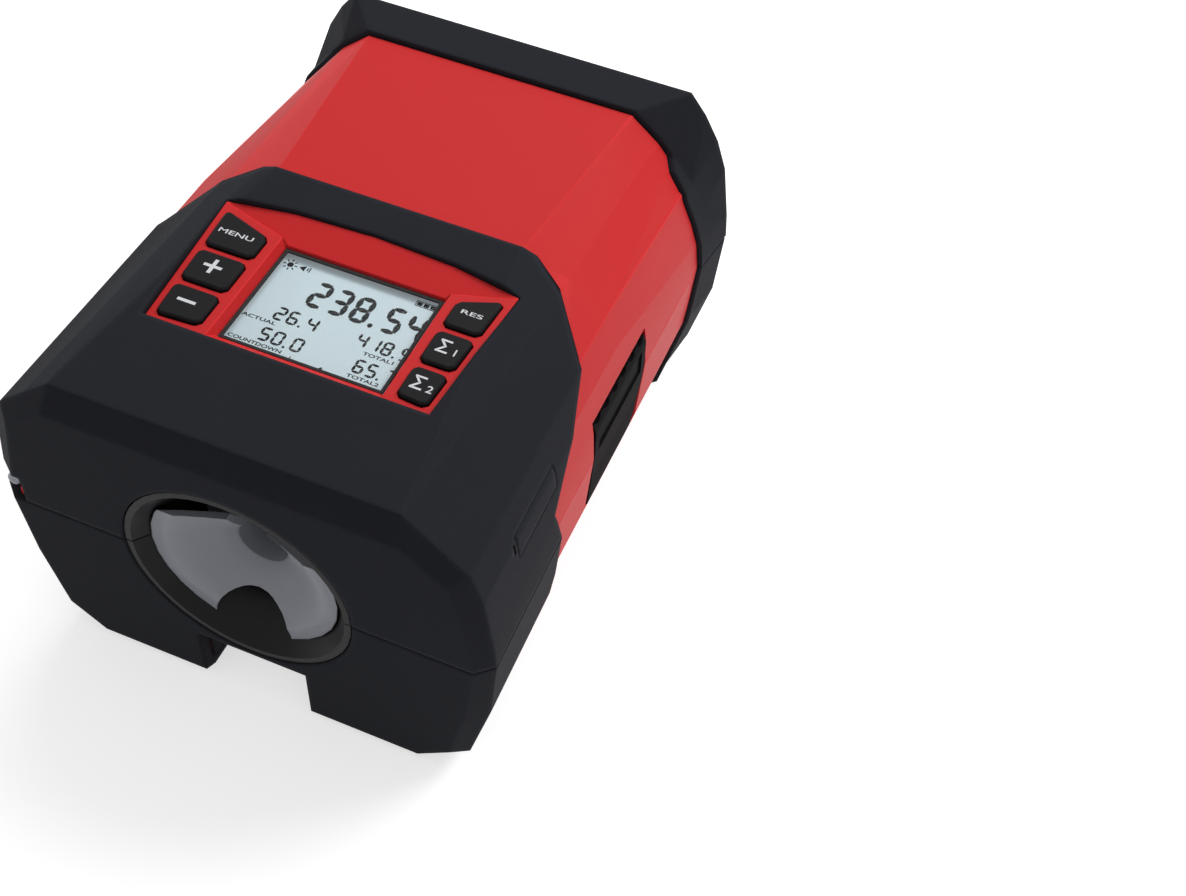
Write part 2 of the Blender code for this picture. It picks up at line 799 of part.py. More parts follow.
def make_base_plate():
    """Black deck: half bores, well for the arm, locating pegs and the arm's pivot lugs."""
    plate = prism("base_plate", plate_outline(), "Z", deck_bottom, deck_top)
    pipe = bore_radius + trough_wall
    seat = funnel_length + gap
    trough = rod("trough", "Y", 0.0, parting, pipe, front + seat, rear - seat, 48)
    join(plate, trough)
    lugs = []
    for side in (-1, 1):
        x0 = side * (well_half + 2 * well_margin)
        x1 = x0 + side * lug_thickness
        lug = rod("lug", "X", pivot_y, pivot_z, lug_radius, min(x0, x1), max(x0, x1), 24)
        web = box("web", min(x0, x1), max(x0, x1), pivot_y - lug_radius, pivot_y + lug_radius,
                  pivot_z, deck_bottom + plate_thickness / 2)
        lugs.append(join(lug, web))
    join(plate, *lugs)
    well = [(-well_half, well_front), (well_half, well_front), (well_half, well_rear),
            (-well_half, well_rear)]
    slot_x = cheek_inner
    pads = funnel_pads(gap, deck_bottom - overrun, deck_top + overrun)
    cut(plate, rod("bore", "Y", 0.0, parting, bore_radius, front, rear, 64),
        prism("well", well, "Z", -overrun, parting + overrun),
        box("slot", slot_x, slot_x + slot_width, well_rear - gap, well_rear + slot_length,
            deck_bottom - overrun, parting + overrun),
        box("funnel_seat", -bore_radius - 2 * trough_wall, bore_radius + 2 * trough_wall,
            front, front + seat, -overrun, parting + overrun),
        box("funnel_seat", -bore_radius - 2 * trough_wall, bore_radius + 2 * trough_wall,
            rear - seat, rear, -overrun, parting + overrun),
        *pads, latch_pocket("low"), pivot_solids(gap, "hole"))
    keep(plate, lower_space())
    pegs = []
    for side in (-1, 1):
        peg = rod("peg", "Z", side * peg_x, front + peg_from_front, peg_radius,
                  deck_bottom + plate_thickness / 2, deck_top + peg_height, 24)
        crown = rod("crown", "Z", side * peg_x, front + peg_from_front, peg_radius / 2,
                    deck_top + peg_height / 2, deck_top + peg_height + overrun, 16)
        pegs.append(cut(peg, crown))
    join(plate, *pegs)
    finish(plate, BLACK)


def pivot_solids(grow, name):
    """The two stub pins of the measuring arm as one tool or as one solid for each side."""
    solids = []
    for side in (-1, 1):
        a = side * (cheek_inner + gap)
        b = side * (well_half + 2 * well_margin + lug_thickness)
        solids.append(rod(name, "X", pivot_y, pivot_z, pivot_radius + grow, min(a, b) - grow,
                          max(a, b) + grow, 20))
    return join(solids[0], solids[1]) if grow else solids


def make_lid_plate():
    """Black inner plate of the lid: half bores, chamber over the wheel and peg sockets."""
    plate = prism("lid_plate", plate_outline(), "Z", roof_bottom, roof_top)
    pipe = bore_radius + trough_wall
    seat = funnel_length + gap
    trough = rod("trough", "Y", 0.0, parting, pipe, front + seat, rear - seat, 48)
    join(plate, trough, chamber_solid(trough_wall, roof_bottom))
    for side in (-1, 1):
        join(plate, rod("boss", "Z", side * peg_x, front + peg_from_front,
                        peg_radius + peg_clearance + socket_wall, roof_bottom,
                        roof_bottom + peg_height + 2 * socket_wall, 24))
    pads = funnel_pads(gap, roof_bottom - overrun, roof_top + overrun)
    cut(plate, rod("bore", "Y", 0.0, parting, bore_radius, front, rear, 64),
        chamber_solid(0.0, roof_bottom - overrun),
        box("funnel_seat", -bore_radius - 2 * trough_wall, bore_radius + 2 * trough_wall,
            front, front + seat, parting - overrun, top),
        box("funnel_seat", -bore_radius - 2 * trough_wall, bore_radius + 2 * trough_wall,
            rear - seat, rear, parting - overrun, top),
        *pads, latch_pocket("high"))
    for side in (-1, 1):
        cut(plate, rod("socket", "Z", side * peg_x, front + peg_from_front,
                       peg_radius + peg_clearance, roof_bottom - overrun,
                       roof_bottom + peg_height + socket_wall, 24))
    cut(plate, *chamber_slits())
    keep(plate, upper_space())
    finish(plate, BLACK, origin=(hinge_x, 0.0, hinge_z))


def chamber_solid(grow, low):
    """The raised room over the wheel: an upturned tray with sloping sides."""
    shape = bmesh.new()
    rings = []
    over = (parting - low) / chamber_depth
    for height, inset in ((low, -over * chamber_taper), (chamber_top + grow, chamber_taper)):
        half = chamber_half_width - inset + grow
        y0 = chamber_front + inset - grow
        y1 = chamber_rear - inset + grow
        rings.append([shape.verts.new((x, y, height)) for x, y in
                      ((-half, y0), (half, y0), (half, y1), (-half, y1))])
    for i in range(4):
        j = (i + 1) % 4
        shape.faces.new((rings[0][i], rings[0][j], rings[1][j], rings[1][i]))
    shape.faces.new(rings[0])
    shape.faces.new(rings[1])
    return from_bmesh("chamber", shape)


def chamber_slits():
    """Slanted sound slits in the chamber's wall on the latch side."""
    slits = []
    low, high, lean = (chamber_depth * share for share in slit_shares)
    low, high = parting + low, parting + high
    for i in range(slit_count):
        y = chamber_front + 3 * chamber_taper + slit_pitch * i
        loop = [(y, low), (y + slit_width, low), (y + slit_width + lean, high), (y + lean, high)]
        slits.append(prism("slit", loop, "X", chamber_half_width - 2 * chamber_taper,
                           chamber_half_width + overrun))
    return slits


def funnel_profile(grow):
    """Distance from the mouth and radius along the flare, as a quarter of an ellipse."""
    points = []
    steps = 6
    for i in range(steps + 1):
        angle = math.pi / 2 * i / steps
        deep = funnel_length * math.sin(angle)
        flare = (1 - math.sin(angle)) ** flare_power
        radius = bore_radius + (mouth_radius - bore_radius) * flare
        points.append((deep, radius + grow))
    return points


def make_funnels():
    """Flared cable mouths in halves, each with two screw pads."""
    for end in ("front", "rear"):
        way = 1 if end == "front" else -1
        face = front + gap if end == "front" else rear - gap
        outer = [(face + way * d * (funnel_length - gap) / funnel_length, r)
                 for d, r in funnel_profile(funnel_wall)]
        inner = [(face + way * d, r) for d, r in funnel_profile(0.0)]
        inner = [(face - way * overrun, inner[0][1])] + inner + [
            (face + way * (funnel_length + overrun), bore_radius)]
        for half in ("lower", "upper"):
            name = f"{end}_funnel_{half}"
            horn = turned(name, outer)
            low, high = ((deck_top - pad_thickness, deck_top) if half == "lower"
                         else (roof_bottom, roof_bottom + pad_thickness))
            pad = funnel_pads(0.0, low, high)
            mine, other = (pad[0], pad[1]) if end == "front" else (pad[1], pad[0])
            bpy.data.objects.remove(other, do_unlink=True)
            join(horn, mine)
            cut(horn, turned("hole", inner))
            keep(horn, lower_space() if half == "lower" else upper_space())
            origin = (hinge_x, 0.0, hinge_z) if half == "upper" else (0.0, 0.0, 0.0)
            finish(horn, BLACK, origin=origin)


def make_guides():
    """Grey inserts: a horn, an open channel for the cable, a floor and two cross walls."""
    outer = bore_radius - guide_play
    for end in ("front", "rear"):
        way = 1 if end == "front" else -1
        face = front if end == "front" else rear
        start = face + way * 2 * guide_wall
        name = f"{end}_cable_guide"
        horn = [(start, mouth_radius - 2 * guide_wall)]
        steps = 4
        length = funnel_length * guide_flare_share
        for i in range(1, steps + 1):
            angle = math.pi / 2 * i / steps
            spread = mouth_radius - guide_channel_radius - 3 * guide_wall
            radius = (guide_channel_radius + guide_wall
                      + spread * (1 - math.sin(angle)) ** guide_flare_power)
            horn.append((start + way * length * math.sin(angle), radius))
        horn.append((start + way * guide_length, guide_channel_radius + guide_wall))
        body = turned(name, horn, 28)
        walls = []
        for share in guide_wall_shares:
            y = start + way * guide_length * share
            y0, y1 = sorted((y, y - way * guide_wall))
            walls.append(rod("wall", "Y", 0.0, parting, outer, y0, y1, 36))
        middle = start + way * guide_length * guide_floor_start_share
        last = start + way * (guide_length - guide_wall / 2)
        floor = outer * guide_floor_width_share
        walls.append(box("floor", -floor, floor, min(middle, last), max(middle, last),
                         parting - guide_wall, parting))
        join(body, *walls)
        inner = [(start - way * overrun, mouth_radius - 3 * guide_wall)]
        for y, radius in horn:
            inner.append((y - way * guide_wall * guide_bore_share, radius - guide_wall))
        inner.append((start + way * (guide_length + overrun), guide_channel_radius))
        slot_half = guide_channel_radius * guide_slot_share
        slot = box("slot", -slot_half, slot_half,
                   start - overrun if way > 0 else start - guide_length - overrun,
                   start + guide_length + overrun if way > 0 else start + overrun,
                   parting, top)
        arch_end = start + way * length
        arch = rod("arch", "Y", 0.0, parting - mouth_radius + guide_arch_radius / 2,
                   guide_arch_radius, min(start - way * overrun, arch_end),
                   max(start - way * overrun, arch_end), 32)
        crown = box("crown", -2 * bore_radius, 2 * bore_radius, front - overrun, rear + overrun,
                    parting + guide_rise, top + overrun)
        cut(body, turned("hole", inner, 28), slot, arch, crown)
        finish(body, GREY)


def latch_pin_solid(grow):
    """The latch's hinge pin."""
    half = latch_top_width / 2 + latch_side_gap + pocket_wall - gap
    return rod("latch_pin", "Y", latch_pivot_x, latch_pivot_height, latch_pin_radius + grow,
               latch_y - half - grow, latch_y + half + grow, 16)


def between(shares, up):
    """The first share at a height on a line of (across, up) shares."""
    for (a, low), (b, high) in zip(shares, shares[1:]):
        if low <= up <= high:
            return a + (b - a) * (up - low) / (high - low)
    return shares[-1][0]


def make_latch():
    """Latch: a curved plate with a hooked, scalloped head, a panel and grip lines."""
    px, pz = latch_pivot_x, latch_pivot_height
    reach = half_width * latch_face_share - px
    half = latch_top_width / 2
    outer = px + reach + overrun
    outline = [(px + across * reach, pz + up * latch_height)
               for across, up in latch_face_shares + latch_back_shares]
    for angle in latch_boss_angles:
        turn = math.radians(angle)
        outline.append((px + latch_boss_radius * math.cos(turn),
                        pz + latch_boss_radius * math.sin(turn)))
    latch = prism("latch", outline, "Y", latch_y - half, latch_y + half)
    narrow = (latch_top_width - latch_foot_width) / 2
    foot, waist = pz - 2 * latch_boss_radius, pz + latch_height * taper_top_share
    for side in (-1, 1):
        edge = latch_y + side * half
        loop = [(edge - side * narrow, foot), (edge + side * overrun, foot),
                (edge + side * overrun, waist), (edge, waist)]
        cut(latch, prism("taper", loop, "X", px - 2 * latch_boss_radius, outer))
    step = latch_top_width / scallop_count
    scallops = [rod("scallop", "X", latch_y - half + step * (2 * i + 1) / 2, pz + latch_height
                    + scallop_radius / 2, scallop_radius, px - overrun, outer, 16)
                for i in range(scallop_count)]
    low_share, high_share = latch_panel_shares
    panel_face = px + reach * between(latch_face_shares, low_share) - latch_panel_depth
    panel = box("panel", panel_face, outer, latch_y - half + latch_panel_margin,
                latch_y + half - latch_panel_margin, pz + latch_height * low_share,
                pz + latch_height * high_share)
    grips = []
    for i in range(grip_count):
        z = pz + latch_height * grip_top_share - grip_pitch * i
        face = px + reach * between(latch_face_shares, (z - pz) / latch_height)
        grips.append(box("grip", face - grip_depth, outer, latch_y - half - overrun,
                         latch_y + half + overrun, z, z + grip_depth))
    cut(latch, *scallops, panel, *grips, latch_pin_solid(gap))
    finish(latch, BLACK, origin=(px, latch_y, pz))
    pin = latch_pin_solid(0.0)
    pin.name = "latch_pin"
    finish(pin, STEEL)


def make_catch_bar():
    """Grey bar at the bottom of the lid's latch pocket."""
    half = latch_top_width / 2 + latch_side_gap - gap
    low = roof_bottom + gap
    bar = box("catch_bar", pocket_floor + gap, pocket_floor + gap + catch_thickness,
              latch_y - half, latch_y + half, low, low + catch_height)
    thick, foot, head = catch_rib_shares
    rib = box("rib", pocket_floor + gap, pocket_floor + gap + catch_thickness * thick,
              latch_y - half, latch_y + half, low + catch_height * foot,
              low + catch_height * head)
    join(bar, rib)
    finish(bar, GREY, origin=(hinge_x, 0.0, hinge_z))


def make_hinge_parts():
    """Two hinge pins and the two coil springs around them."""
    ranges = knuckle_ranges()
    for end, (low, high) in zip(("front", "rear"), pin_ranges()):
        pin = rod(f"hinge_pin_{end}", "Y", hinge_x, hinge_z, hinge_pin_radius, low, high, 16)
        finish(pin, STEEL)
        low, high = ranges[end, "spring"]
        reach = (high - low) - 2 * (knuckle_gap + hinge_wire_radius)
        pitch = reach / hinge_spring_turns
        coil(f"hinge_spring_{end}", "Y", (hinge_x, low + knuckle_gap + hinge_wire_radius,
                                          hinge_z), hinge_coil_radius, hinge_wire_radius,
             pitch, hinge_spring_turns)


def coil(name, axis, start, radius, wire, pitch, turns):
    """A wound spring as one unbroken wire, with short straight ends."""
    steps = 9
    points = []
    for i in range(turns * steps + 1):
        angle = 2 * math.pi * i / steps
        along = pitch * i / steps
        side, up = radius * math.cos(angle), radius * math.sin(angle)
        offset = (side, along, up) if axis == "Y" else (along, side, up)
        points.append(Vector(start) + Vector(offset))
    least = min((a - b).length for i, a in enumerate(points) for b in points[i + steps // 2:]
                ) - 2 * wire
    print(f"{name}: least gap between turns {least * 1000:.2f} mm")
    first = points[0] + (points[0] - points[1]).normalized() * 2 * wire
    last = points[-1] + (points[-1] - points[-2]).normalized() * 2 * wire
    points = [first] + points + [last]
    curve = bpy.data.curves.new(name, "CURVE")
    curve.dimensions = "3D"
    curve.bevel_depth = wire
    curve.bevel_resolution = 1
    curve.use_fill_caps = True
    line = curve.splines.new("POLY")
    line.points.add(len(points) - 1)
    for spot, point in zip(line.points, points):
        spot.co = (*point, 1.0)
    thing = bpy.data.objects.new(name, curve)
    bpy.context.collection.objects.link(thing)
    thing.data.materials.append(material(SPRING))
    return thing


def cheek_outline():
    """Side view of the arm's cheeks."""
    return [(wheel_y + along * arm_length, wheel_z + up * wheel_radius)
            for along, up in cheek_shares]


def make_arm():
    """Red rocker: two peaked cheeks and a low bridge behind the wheel."""
    outline = cheek_outline()
    cheeks = []
    for side in (-1, 1):
        a, b = side * cheek_inner, side * cheek_outer
        cheeks.append(prism("cheek", outline, "X", min(a, b), max(a, b)))
    drop, along = arm_bridge_shares
    low = wheel_z - wheel_radius * drop
    y = wheel_y + arm_length * along
    bridge = box("bridge", -cheek_inner - cheek_thickness / 2, cheek_inner + cheek_thickness / 2,
                 y - arm_bridge_length / 2, y + arm_bridge_length / 2, low,
                 low + arm_bridge_height)
    arm = join(cheeks[0], bridge, cheeks[1])
    arm.name = "measuring_arm"
    cut(arm, pivot_solids(gap, "hole"),
        rod("hole", "X", wheel_y, wheel_z, axle_radius + gap, -half_width, half_width, 24))
    finish(arm, RED, origin=(0.0, pivot_y, pivot_z))
    pins = pivot_solids(0.0, "pivot_pin")
    for pin, side in zip(pins, ("left", "right")):
        pin.name = f"pivot_pin_{side}"
        finish(pin, STEEL)
    spring_x = -(cheek_outer + gap + arm_wire_radius + arm_spring_pitch * arm_spring_turns)
    coil("arm_spring", "X", (spring_x, pivot_y, pivot_z), arm_coil_radius, arm_wire_radius,
         arm_spring_pitch, arm_spring_turns)
    half = sensor_size / 2
    board = box("sensor_board", cheek_outer + gap, cheek_outer + gap + board_thickness,
                wheel_y - half, wheel_y + half, wheel_z - half, wheel_z + half)
    finish(board, BOARD, origin=(0.0, pivot_y, pivot_z))


def make_wheel():
    """Ribbed rubber wheel with steel end rings, bearings, axle and magnet ring."""
    centre = (0.0, wheel_y, wheel_z)
    loop = []
    for i in range(wheel_rib_count):
        base = 2 * math.pi * i / wheel_rib_count
        for share, depth in ((0.0, 0.0), (0.62, 0.0), (0.72, wheel_rib_depth),
                             (0.90, wheel_rib_depth)):
            angle = base + 2 * math.pi / wheel_rib_count * share
            radius = wheel_radius - depth
            loop.append((wheel_y + radius * math.cos(angle), wheel_z + radius * math.sin(angle)))
    wheel = prism("measuring_wheel", loop, "X", -wheel_half_length, wheel_half_length)
    cut(wheel, rod("bore", "X", wheel_y, wheel_z, bearing_radius + gap, -half_width,
                   half_width, 32))
    finish(wheel, RUBBER, origin=centre)
    axle = rod("wheel_axle", "X", wheel_y, wheel_z, axle_radius, -cheek_outer, cheek_outer, 24)
    finish(axle, STEEL, origin=centre)
    for side, word in ((-1, "left"), (1, "right")):
        def ring(name, look, outer, near, wide):
            a, b = side * near, side * (near + wide)
            piece = rod(name, "X", wheel_y, wheel_z, outer, min(a, b), max(a, b), 40)
            cut(piece, rod("hole", "X", wheel_y, wheel_z, axle_radius + gap, -half_width,
                           half_width, 24))
            finish(piece, look, origin=centre)
        ring(f"wheel_bearing_{word}", STEEL, bearing_radius,
             wheel_half_length - bearing_width, bearing_width)
        ring(f"wheel_end_ring_{word}", STEEL, wheel_radius + gap, wheel_half_length + gap,
             end_ring_width)
        if side > 0:
            ring("magnet_ring", SPRING, magnet_radius,
                 wheel_half_length + end_ring_width + 2 * gap, magnet_width)


def slab(name, low, high):
    """Solid between two loops of the same number of corners."""
    shape = bmesh.new()
    rings = [[shape.verts.new(corner) for corner in loop] for loop in (low, high)]
    count = len(low)
    for i in range(count):
        j = (i + 1) % count
        shape.faces.new((rings[0][i], rings[0][j], rings[1][j], rings[1][i]))
    for ring in rings:
        shape.faces.new(ring)
    return from_bmesh(name, shape)


def recess_loop(z):
    """The tray's inner walls at a height: steep at the sides, a long slope in front."""
    k = (z - screen_floor) / screen_depth
    half = screen_half_width + screen_flare * k
    y0 = screen_front - (screen_front - bezel_front_y - screen_front_rim) * k
    y1 = screen_rear + screen_rear_flare * k
    return [(screen_offset - half, y0, z), (screen_offset + half, y0, z),
            (screen_offset + half, y1, z), (screen_offset - half, y1, z)]


def hood_plane(y):
    """Height of the slope behind the display: level with the deck near the rear corners."""
    crest = bezel_rear_y + gap
    return bezel_top + hood_foot * (y - crest) / (crest - screen_rear - screen_rear_flare)


def hood_space():
    """The slope behind the display, a fan that widens to the tray's rear corners."""
    near_y = screen_rear + screen_rear_flare
    half = screen_half_width + screen_flare
    corners = []
    for side in (-1, 1):
        x, far_x = screen_offset + side * half, side * bezel_rear_half_width
        run_x, run_y = far_x - x, bezel_rear_y - gap - near_y
        inner = (x - run_x * hood_reach_shares[0], near_y - run_y * hood_reach_shares[0])
        outer = (far_x + run_x * hood_reach_shares[1],
                 bezel_rear_y - gap + run_y * hood_reach_shares[1])
        corners += [inner, outer] if side < 0 else [outer, inner]
    low = [(x, y, hood_plane(y)) for x, y in corners]
    return slab("hood", low, [(x, y, top + overrun) for x, y in corners])


def make_bezel():
    """Red tray: deck, shallow recess with sloping walls, hood behind it and key holes."""
    bezel = prism("display_bezel", bezel_outline(0.0), "Z", bezel_bottom, top)
    far = bezel_rear_y + overrun
    deck = [(front - overrun, bezel_top), (bezel_rear_y, bezel_top),
            (far, top + overrun), (front - overrun, top + overrun)]
    recess = slab("recess", recess_loop(screen_floor), recess_loop(bezel_top + overrun))
    m = pane_margin + gap
    left, right = screen_offset - screen_half_width, screen_offset + screen_half_width
    cut(bezel, prism("deck", deck, "X", -2 * half_width, 2 * half_width), hood_space(), recess,
        box("window", left, right, screen_front, screen_rear, bezel_bottom - overrun,
            screen_floor + gap),
        box("seat", left - m, right + m, screen_front - m, screen_rear + m,
            bezel_bottom - overrun, screen_floor - screen_lip))
    for name, loop in key_plans().items():
        cut(bezel, prism("hole", offset_loop(loop, gap), "Z", bezel_bottom - overrun,
                         bezel_top + overrun))
    finish(bezel, RED, origin=(hinge_x, 0.0, hinge_z))


def clipped(loop, size):
    """A plan outline with its corners cut off."""
    points = []
    count = len(loop)
    for i, (x, y) in enumerate(loop):
        for other_x, other_y in (loop[i - 1], loop[(i + 1) % count]):
            length = math.hypot(other_x - x, other_y - y)
            points.append((x + (other_x - x) * size / length, y + (other_y - y) * size / length))
    return points


def key_plans():
    """Plan outlines of the six keys, clockwise. Their outer sides follow the tray."""
    names = {"left": ("key_minus", "key_plus", "key_menu"),
             "right": ("key_sum_2", "key_sum_1", "key_reset")}
    plans = {}
    lean = (bezel_rear_half_width - bezel_front_half_width) / bezel_length

    def outer(y):
        return bezel_front_half_width - key_edge_margin + lean * (y - bezel_front_y)

    first = bezel_front_y + key_edge_margin
    for side, word in ((-1, "left"), (1, "right")):
        inner = screen_half_width + side * screen_offset + key_side_margin
        for row in range(3):
            y0 = first + row * key_pitch
            y1 = y0 + key_length
            front_in = y0 + (key_slant * key_front_slant_share if row == 0 else 0.0)
            swing = key_slant / 2 if row == 2 else 0.0
            loop = [(inner, front_in), (inner, y1 - swing), (outer(y1 + swing), y1 + swing),
                    (outer(y0), y0)]
            if side < 0:
                loop = [(-x, y) for x, y in reversed(loop)]
            plans[names[word][row]] = clipped(loop, key_corner)
    return plans


def make_keys():
    """Six keys: a cap with rounded edges and a stem down to the rubber mat."""
    cap_top = bezel_top + key_proud
    mat_top = bezel_bottom - gap
    for name, loop in key_plans().items():
        key = prism(name, loop, "Z", cap_top - key_height, cap_top)
        x = sum(p[0] for p in loop) / len(loop)
        y = sum(p[1] for p in loop) / len(loop)
        join(key, rod("stem", "Z", x, y, key_stem_radius, mat_top + key_travel + gap,
                      cap_top - key_height / 2, 16))
        finish(key, BLACK, origin=(x, y, cap_top - key_height), bevel=key_bevel)


def make_display():
    """Pane, gasket, display cell, key mats, circuit board and buzzer under the tray."""
    origin = (hinge_x, 0.0, hinge_z)
    m = pane_margin
    left, right = screen_offset - screen_half_width, screen_offset + screen_half_width
    y0, y1 = screen_front - m, screen_rear + m
    pane_top = screen_floor - screen_lip - gap
    pane = box("display_window", left - m, right + m, y0, y1, pane_top - pane_thickness, pane_top)
    finish(pane, GLASS, origin=origin)
    g0, g1 = screen_front + gap, screen_rear - gap
    w = gap + gasket_width
    gasket = box("display_gasket", left + gap, right - gap, g0, g1, pane_top + gap,
                 pane_top + gap + gasket_height)
    cut(gasket, box("hole", left + w, right - w, screen_front + w, screen_rear - w,
                    screen_floor - overrun, top))
    finish(gasket, RUBBER, origin=origin)
    lcd_top = pane_top - pane_thickness - gap
    lcd = box("lcd_module", left - m, right + m, y0, y1, lcd_top - lcd_thickness, lcd_top)
    finish(lcd, SCREEN, origin=origin)
    board_top = lcd_top - lcd_thickness - gap
    mat_top = bezel_bottom - gap
    outer = bezel_front_half_width - key_edge_margin
    for word, x0, x1 in (("left", -outer, left - m - 2 * gap), ("right", right + m + 2 * gap, outer)):
        mat = box(f"keypad_mat_{word}", x0, x1, bezel_front_y + key_edge_margin,
                  bezel_rear_y - key_edge_margin, board_top + gap, mat_top)
        finish(mat, RUBBER, origin=origin)
    board = box("circuit_board", -bezel_front_half_width, bezel_front_half_width, bezel_front_y,
                bezel_rear_y, board_top - board_thickness, board_top)
    finish(board, BOARD, origin=origin)
    below = board_top - board_thickness - gap
    buzzer = rod("buzzer", "Z", bezel_front_half_width - 2 * buzzer_radius,
                 bezel_front_y + 2 * buzzer_radius, buzzer_radius, below - buzzer_height, below, 24)
    finish(buzzer, BLACK, origin=origin)


def make_battery():
    """Three round cells in a tray on top of the chamber."""
    origin = (hinge_x, 0.0, hinge_z)
    floor = chamber_top + trough_wall + gap
    half = cell_length / 2 + 2 * gap
    first = chamber_rear - chamber_taper - cell_pitch * (2 * cell_count - 1) / 2
    y0 = first - cell_pitch / 2
    y1 = y0 + cell_pitch * cell_count
    tray = box("battery_tray", -half - tray_thickness, half + tray_thickness,
               y0 - tray_thickness, y1 + tray_thickness, floor, floor + tray_thickness + tray_lip)
    cut(tray, box("room", -half, half, y0, y1, floor + tray_thickness, top))
    finish(tray, BLACK, origin=origin)
    for i in range(cell_count):
        cell = rod(f"battery_cell_{i + 1}", "X", first + cell_pitch * i,
                   floor + tray_thickness + gap + cell_radius, cell_radius, -cell_length / 2,
                   cell_length / 2, 24)
        finish(cell, FOIL, origin=origin)


def make_port_cover():
    """Rubber cover let flush into the side of the display end."""
    cover = rubber_form()
    cover.name = "port_cover"
    keep(cover, port_block(0.0))
    finish(cover, RUBBER, origin=(hinge_x, 0.0, hinge_z))


def make_rod():
    """Steel cross rod in the notch."""
    end = notch_half_width + notch_wall - gap
    bar = rod("mounting_rod", "X", front + rod_from_front, rod_height, rod_radius, -end, end, 20)
    finish(bar, STEEL)


def main():
    clear_scene()
    make_lower_shell()
    make_upper_shell()
    make_bumpers()
    make_base_plate()
    make_lid_plate()
    make_funnels()
    make_guides()
    make_rod()
    make_hinge_parts()
    make_latch()
    make_catch_bar()
    make_arm()
    make_wheel()
    make_bezel()
    make_keys()
    make_display()
    make_battery()
    make_port_cover()


main()
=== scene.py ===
"""The finished look of a cable length counter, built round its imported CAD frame.

Every piece keeps the place that the CAD gives it. Moulded parts get rounded edges and their
real finish, and what CAD leaves out is added: screws, small details, the readings on the
screen, key marks and the studio.
"""

import json
import math

import bmesh
import bpy
from mathutils import Matrix, Vector

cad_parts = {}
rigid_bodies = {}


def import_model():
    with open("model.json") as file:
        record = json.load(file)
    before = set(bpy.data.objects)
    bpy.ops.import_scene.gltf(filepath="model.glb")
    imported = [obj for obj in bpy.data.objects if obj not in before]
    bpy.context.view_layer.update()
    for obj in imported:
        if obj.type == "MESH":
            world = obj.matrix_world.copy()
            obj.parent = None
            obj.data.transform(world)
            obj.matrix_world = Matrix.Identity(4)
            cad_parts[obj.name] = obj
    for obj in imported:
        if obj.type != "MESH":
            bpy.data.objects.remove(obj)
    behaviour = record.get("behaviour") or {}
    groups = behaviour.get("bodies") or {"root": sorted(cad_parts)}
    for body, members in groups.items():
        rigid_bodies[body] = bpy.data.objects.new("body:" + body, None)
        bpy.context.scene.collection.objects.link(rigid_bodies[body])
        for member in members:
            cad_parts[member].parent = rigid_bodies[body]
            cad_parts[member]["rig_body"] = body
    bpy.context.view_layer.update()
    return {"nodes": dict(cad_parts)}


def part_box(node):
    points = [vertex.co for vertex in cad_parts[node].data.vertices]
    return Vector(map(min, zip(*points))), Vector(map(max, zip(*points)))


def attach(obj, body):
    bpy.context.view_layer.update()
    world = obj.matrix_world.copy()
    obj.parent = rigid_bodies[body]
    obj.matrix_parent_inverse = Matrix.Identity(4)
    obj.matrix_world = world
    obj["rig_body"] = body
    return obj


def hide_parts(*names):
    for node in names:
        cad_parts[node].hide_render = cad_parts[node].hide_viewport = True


bl_info = {
    "name": "Cable length counter",
    "version": (1, 0, 0),
    "blender": (4, 5, 0),
    "location": "View3D > Sidebar > Cable counter",
    "description": "Finishes a cable length counter on its CAD frame",
    "category": "Add Mesh",
}

MM = 0.001
# Faces that meet at less than these angles, in degrees, are shaded as one curve: in general,
# and on the facets of the housing. Its long edges are sharp from the third angle on.
CURVE_ANGLE = 30.0
FACET_ANGLE = 16.0
CREASE_ANGLE = 5.0
LONG_EDGE = 12 * MM
HINGE_SIDE = -60 * MM
# The twisted flats of the housing: their least length, width and twist, and how often they
# are divided
FLAT_LENGTH = 40 * MM
FLAT_WIDTH = 6.5 * MM
FLAT_TWIST = 0.5 * MM
FLAT_CUTS = 7
# A face looks along an axis when that part of its normal is larger than this
FACING = 0.9

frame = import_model()


# ---------------------------------------------------------------- colours and sizes


def tint(code):
    """A written sRGB colour such as #CC3E3E as the linear values that Blender works in."""
    parts = [int(code[i : i + 2], 16) / 255 for i in (1, 3, 5)]
    return tuple(p / 12.92 if p <= 0.04045 else ((p + 0.055) / 1.055) ** 2.4 for p in parts)


def colour_property(name, description, code):
    return bpy.props.FloatVectorProperty(
        name=name, description=description, subtype="COLOR", size=3, min=0, max=1,
        default=tint(code),
    )


def length_property(name, description, millimetres):
    return bpy.props.FloatProperty(
        name=name, description=description, unit="LENGTH", min=0, default=millimetres * MM
    )


class CounterColours(bpy.types.PropertyGroup):
    shell: colour_property("Shell", "Red of the moulded housing", "#CD2B2D")
    rubber: colour_property("Rubber", "Black of the rubber ends", "#24252A")
    plates: colour_property("Inner plates", "Black of the plates inside", "#1E1F21")
    latch: colour_property("Latch", "Black of the latch", "#141416")
    keys: colour_property("Keys", "Black of the key caps", "#161618")
    guides: colour_property("Cable guides", "Grey of the two cable guides", "#9A9CA4")
    marks: colour_property("Marks", "Pale print on the keys", "#D6D8DC")
    screen: colour_property("Screen", "Pale ground of the display", "#CEE1E7")
    segments: colour_property("Segments", "Dark of the readings", "#101214")


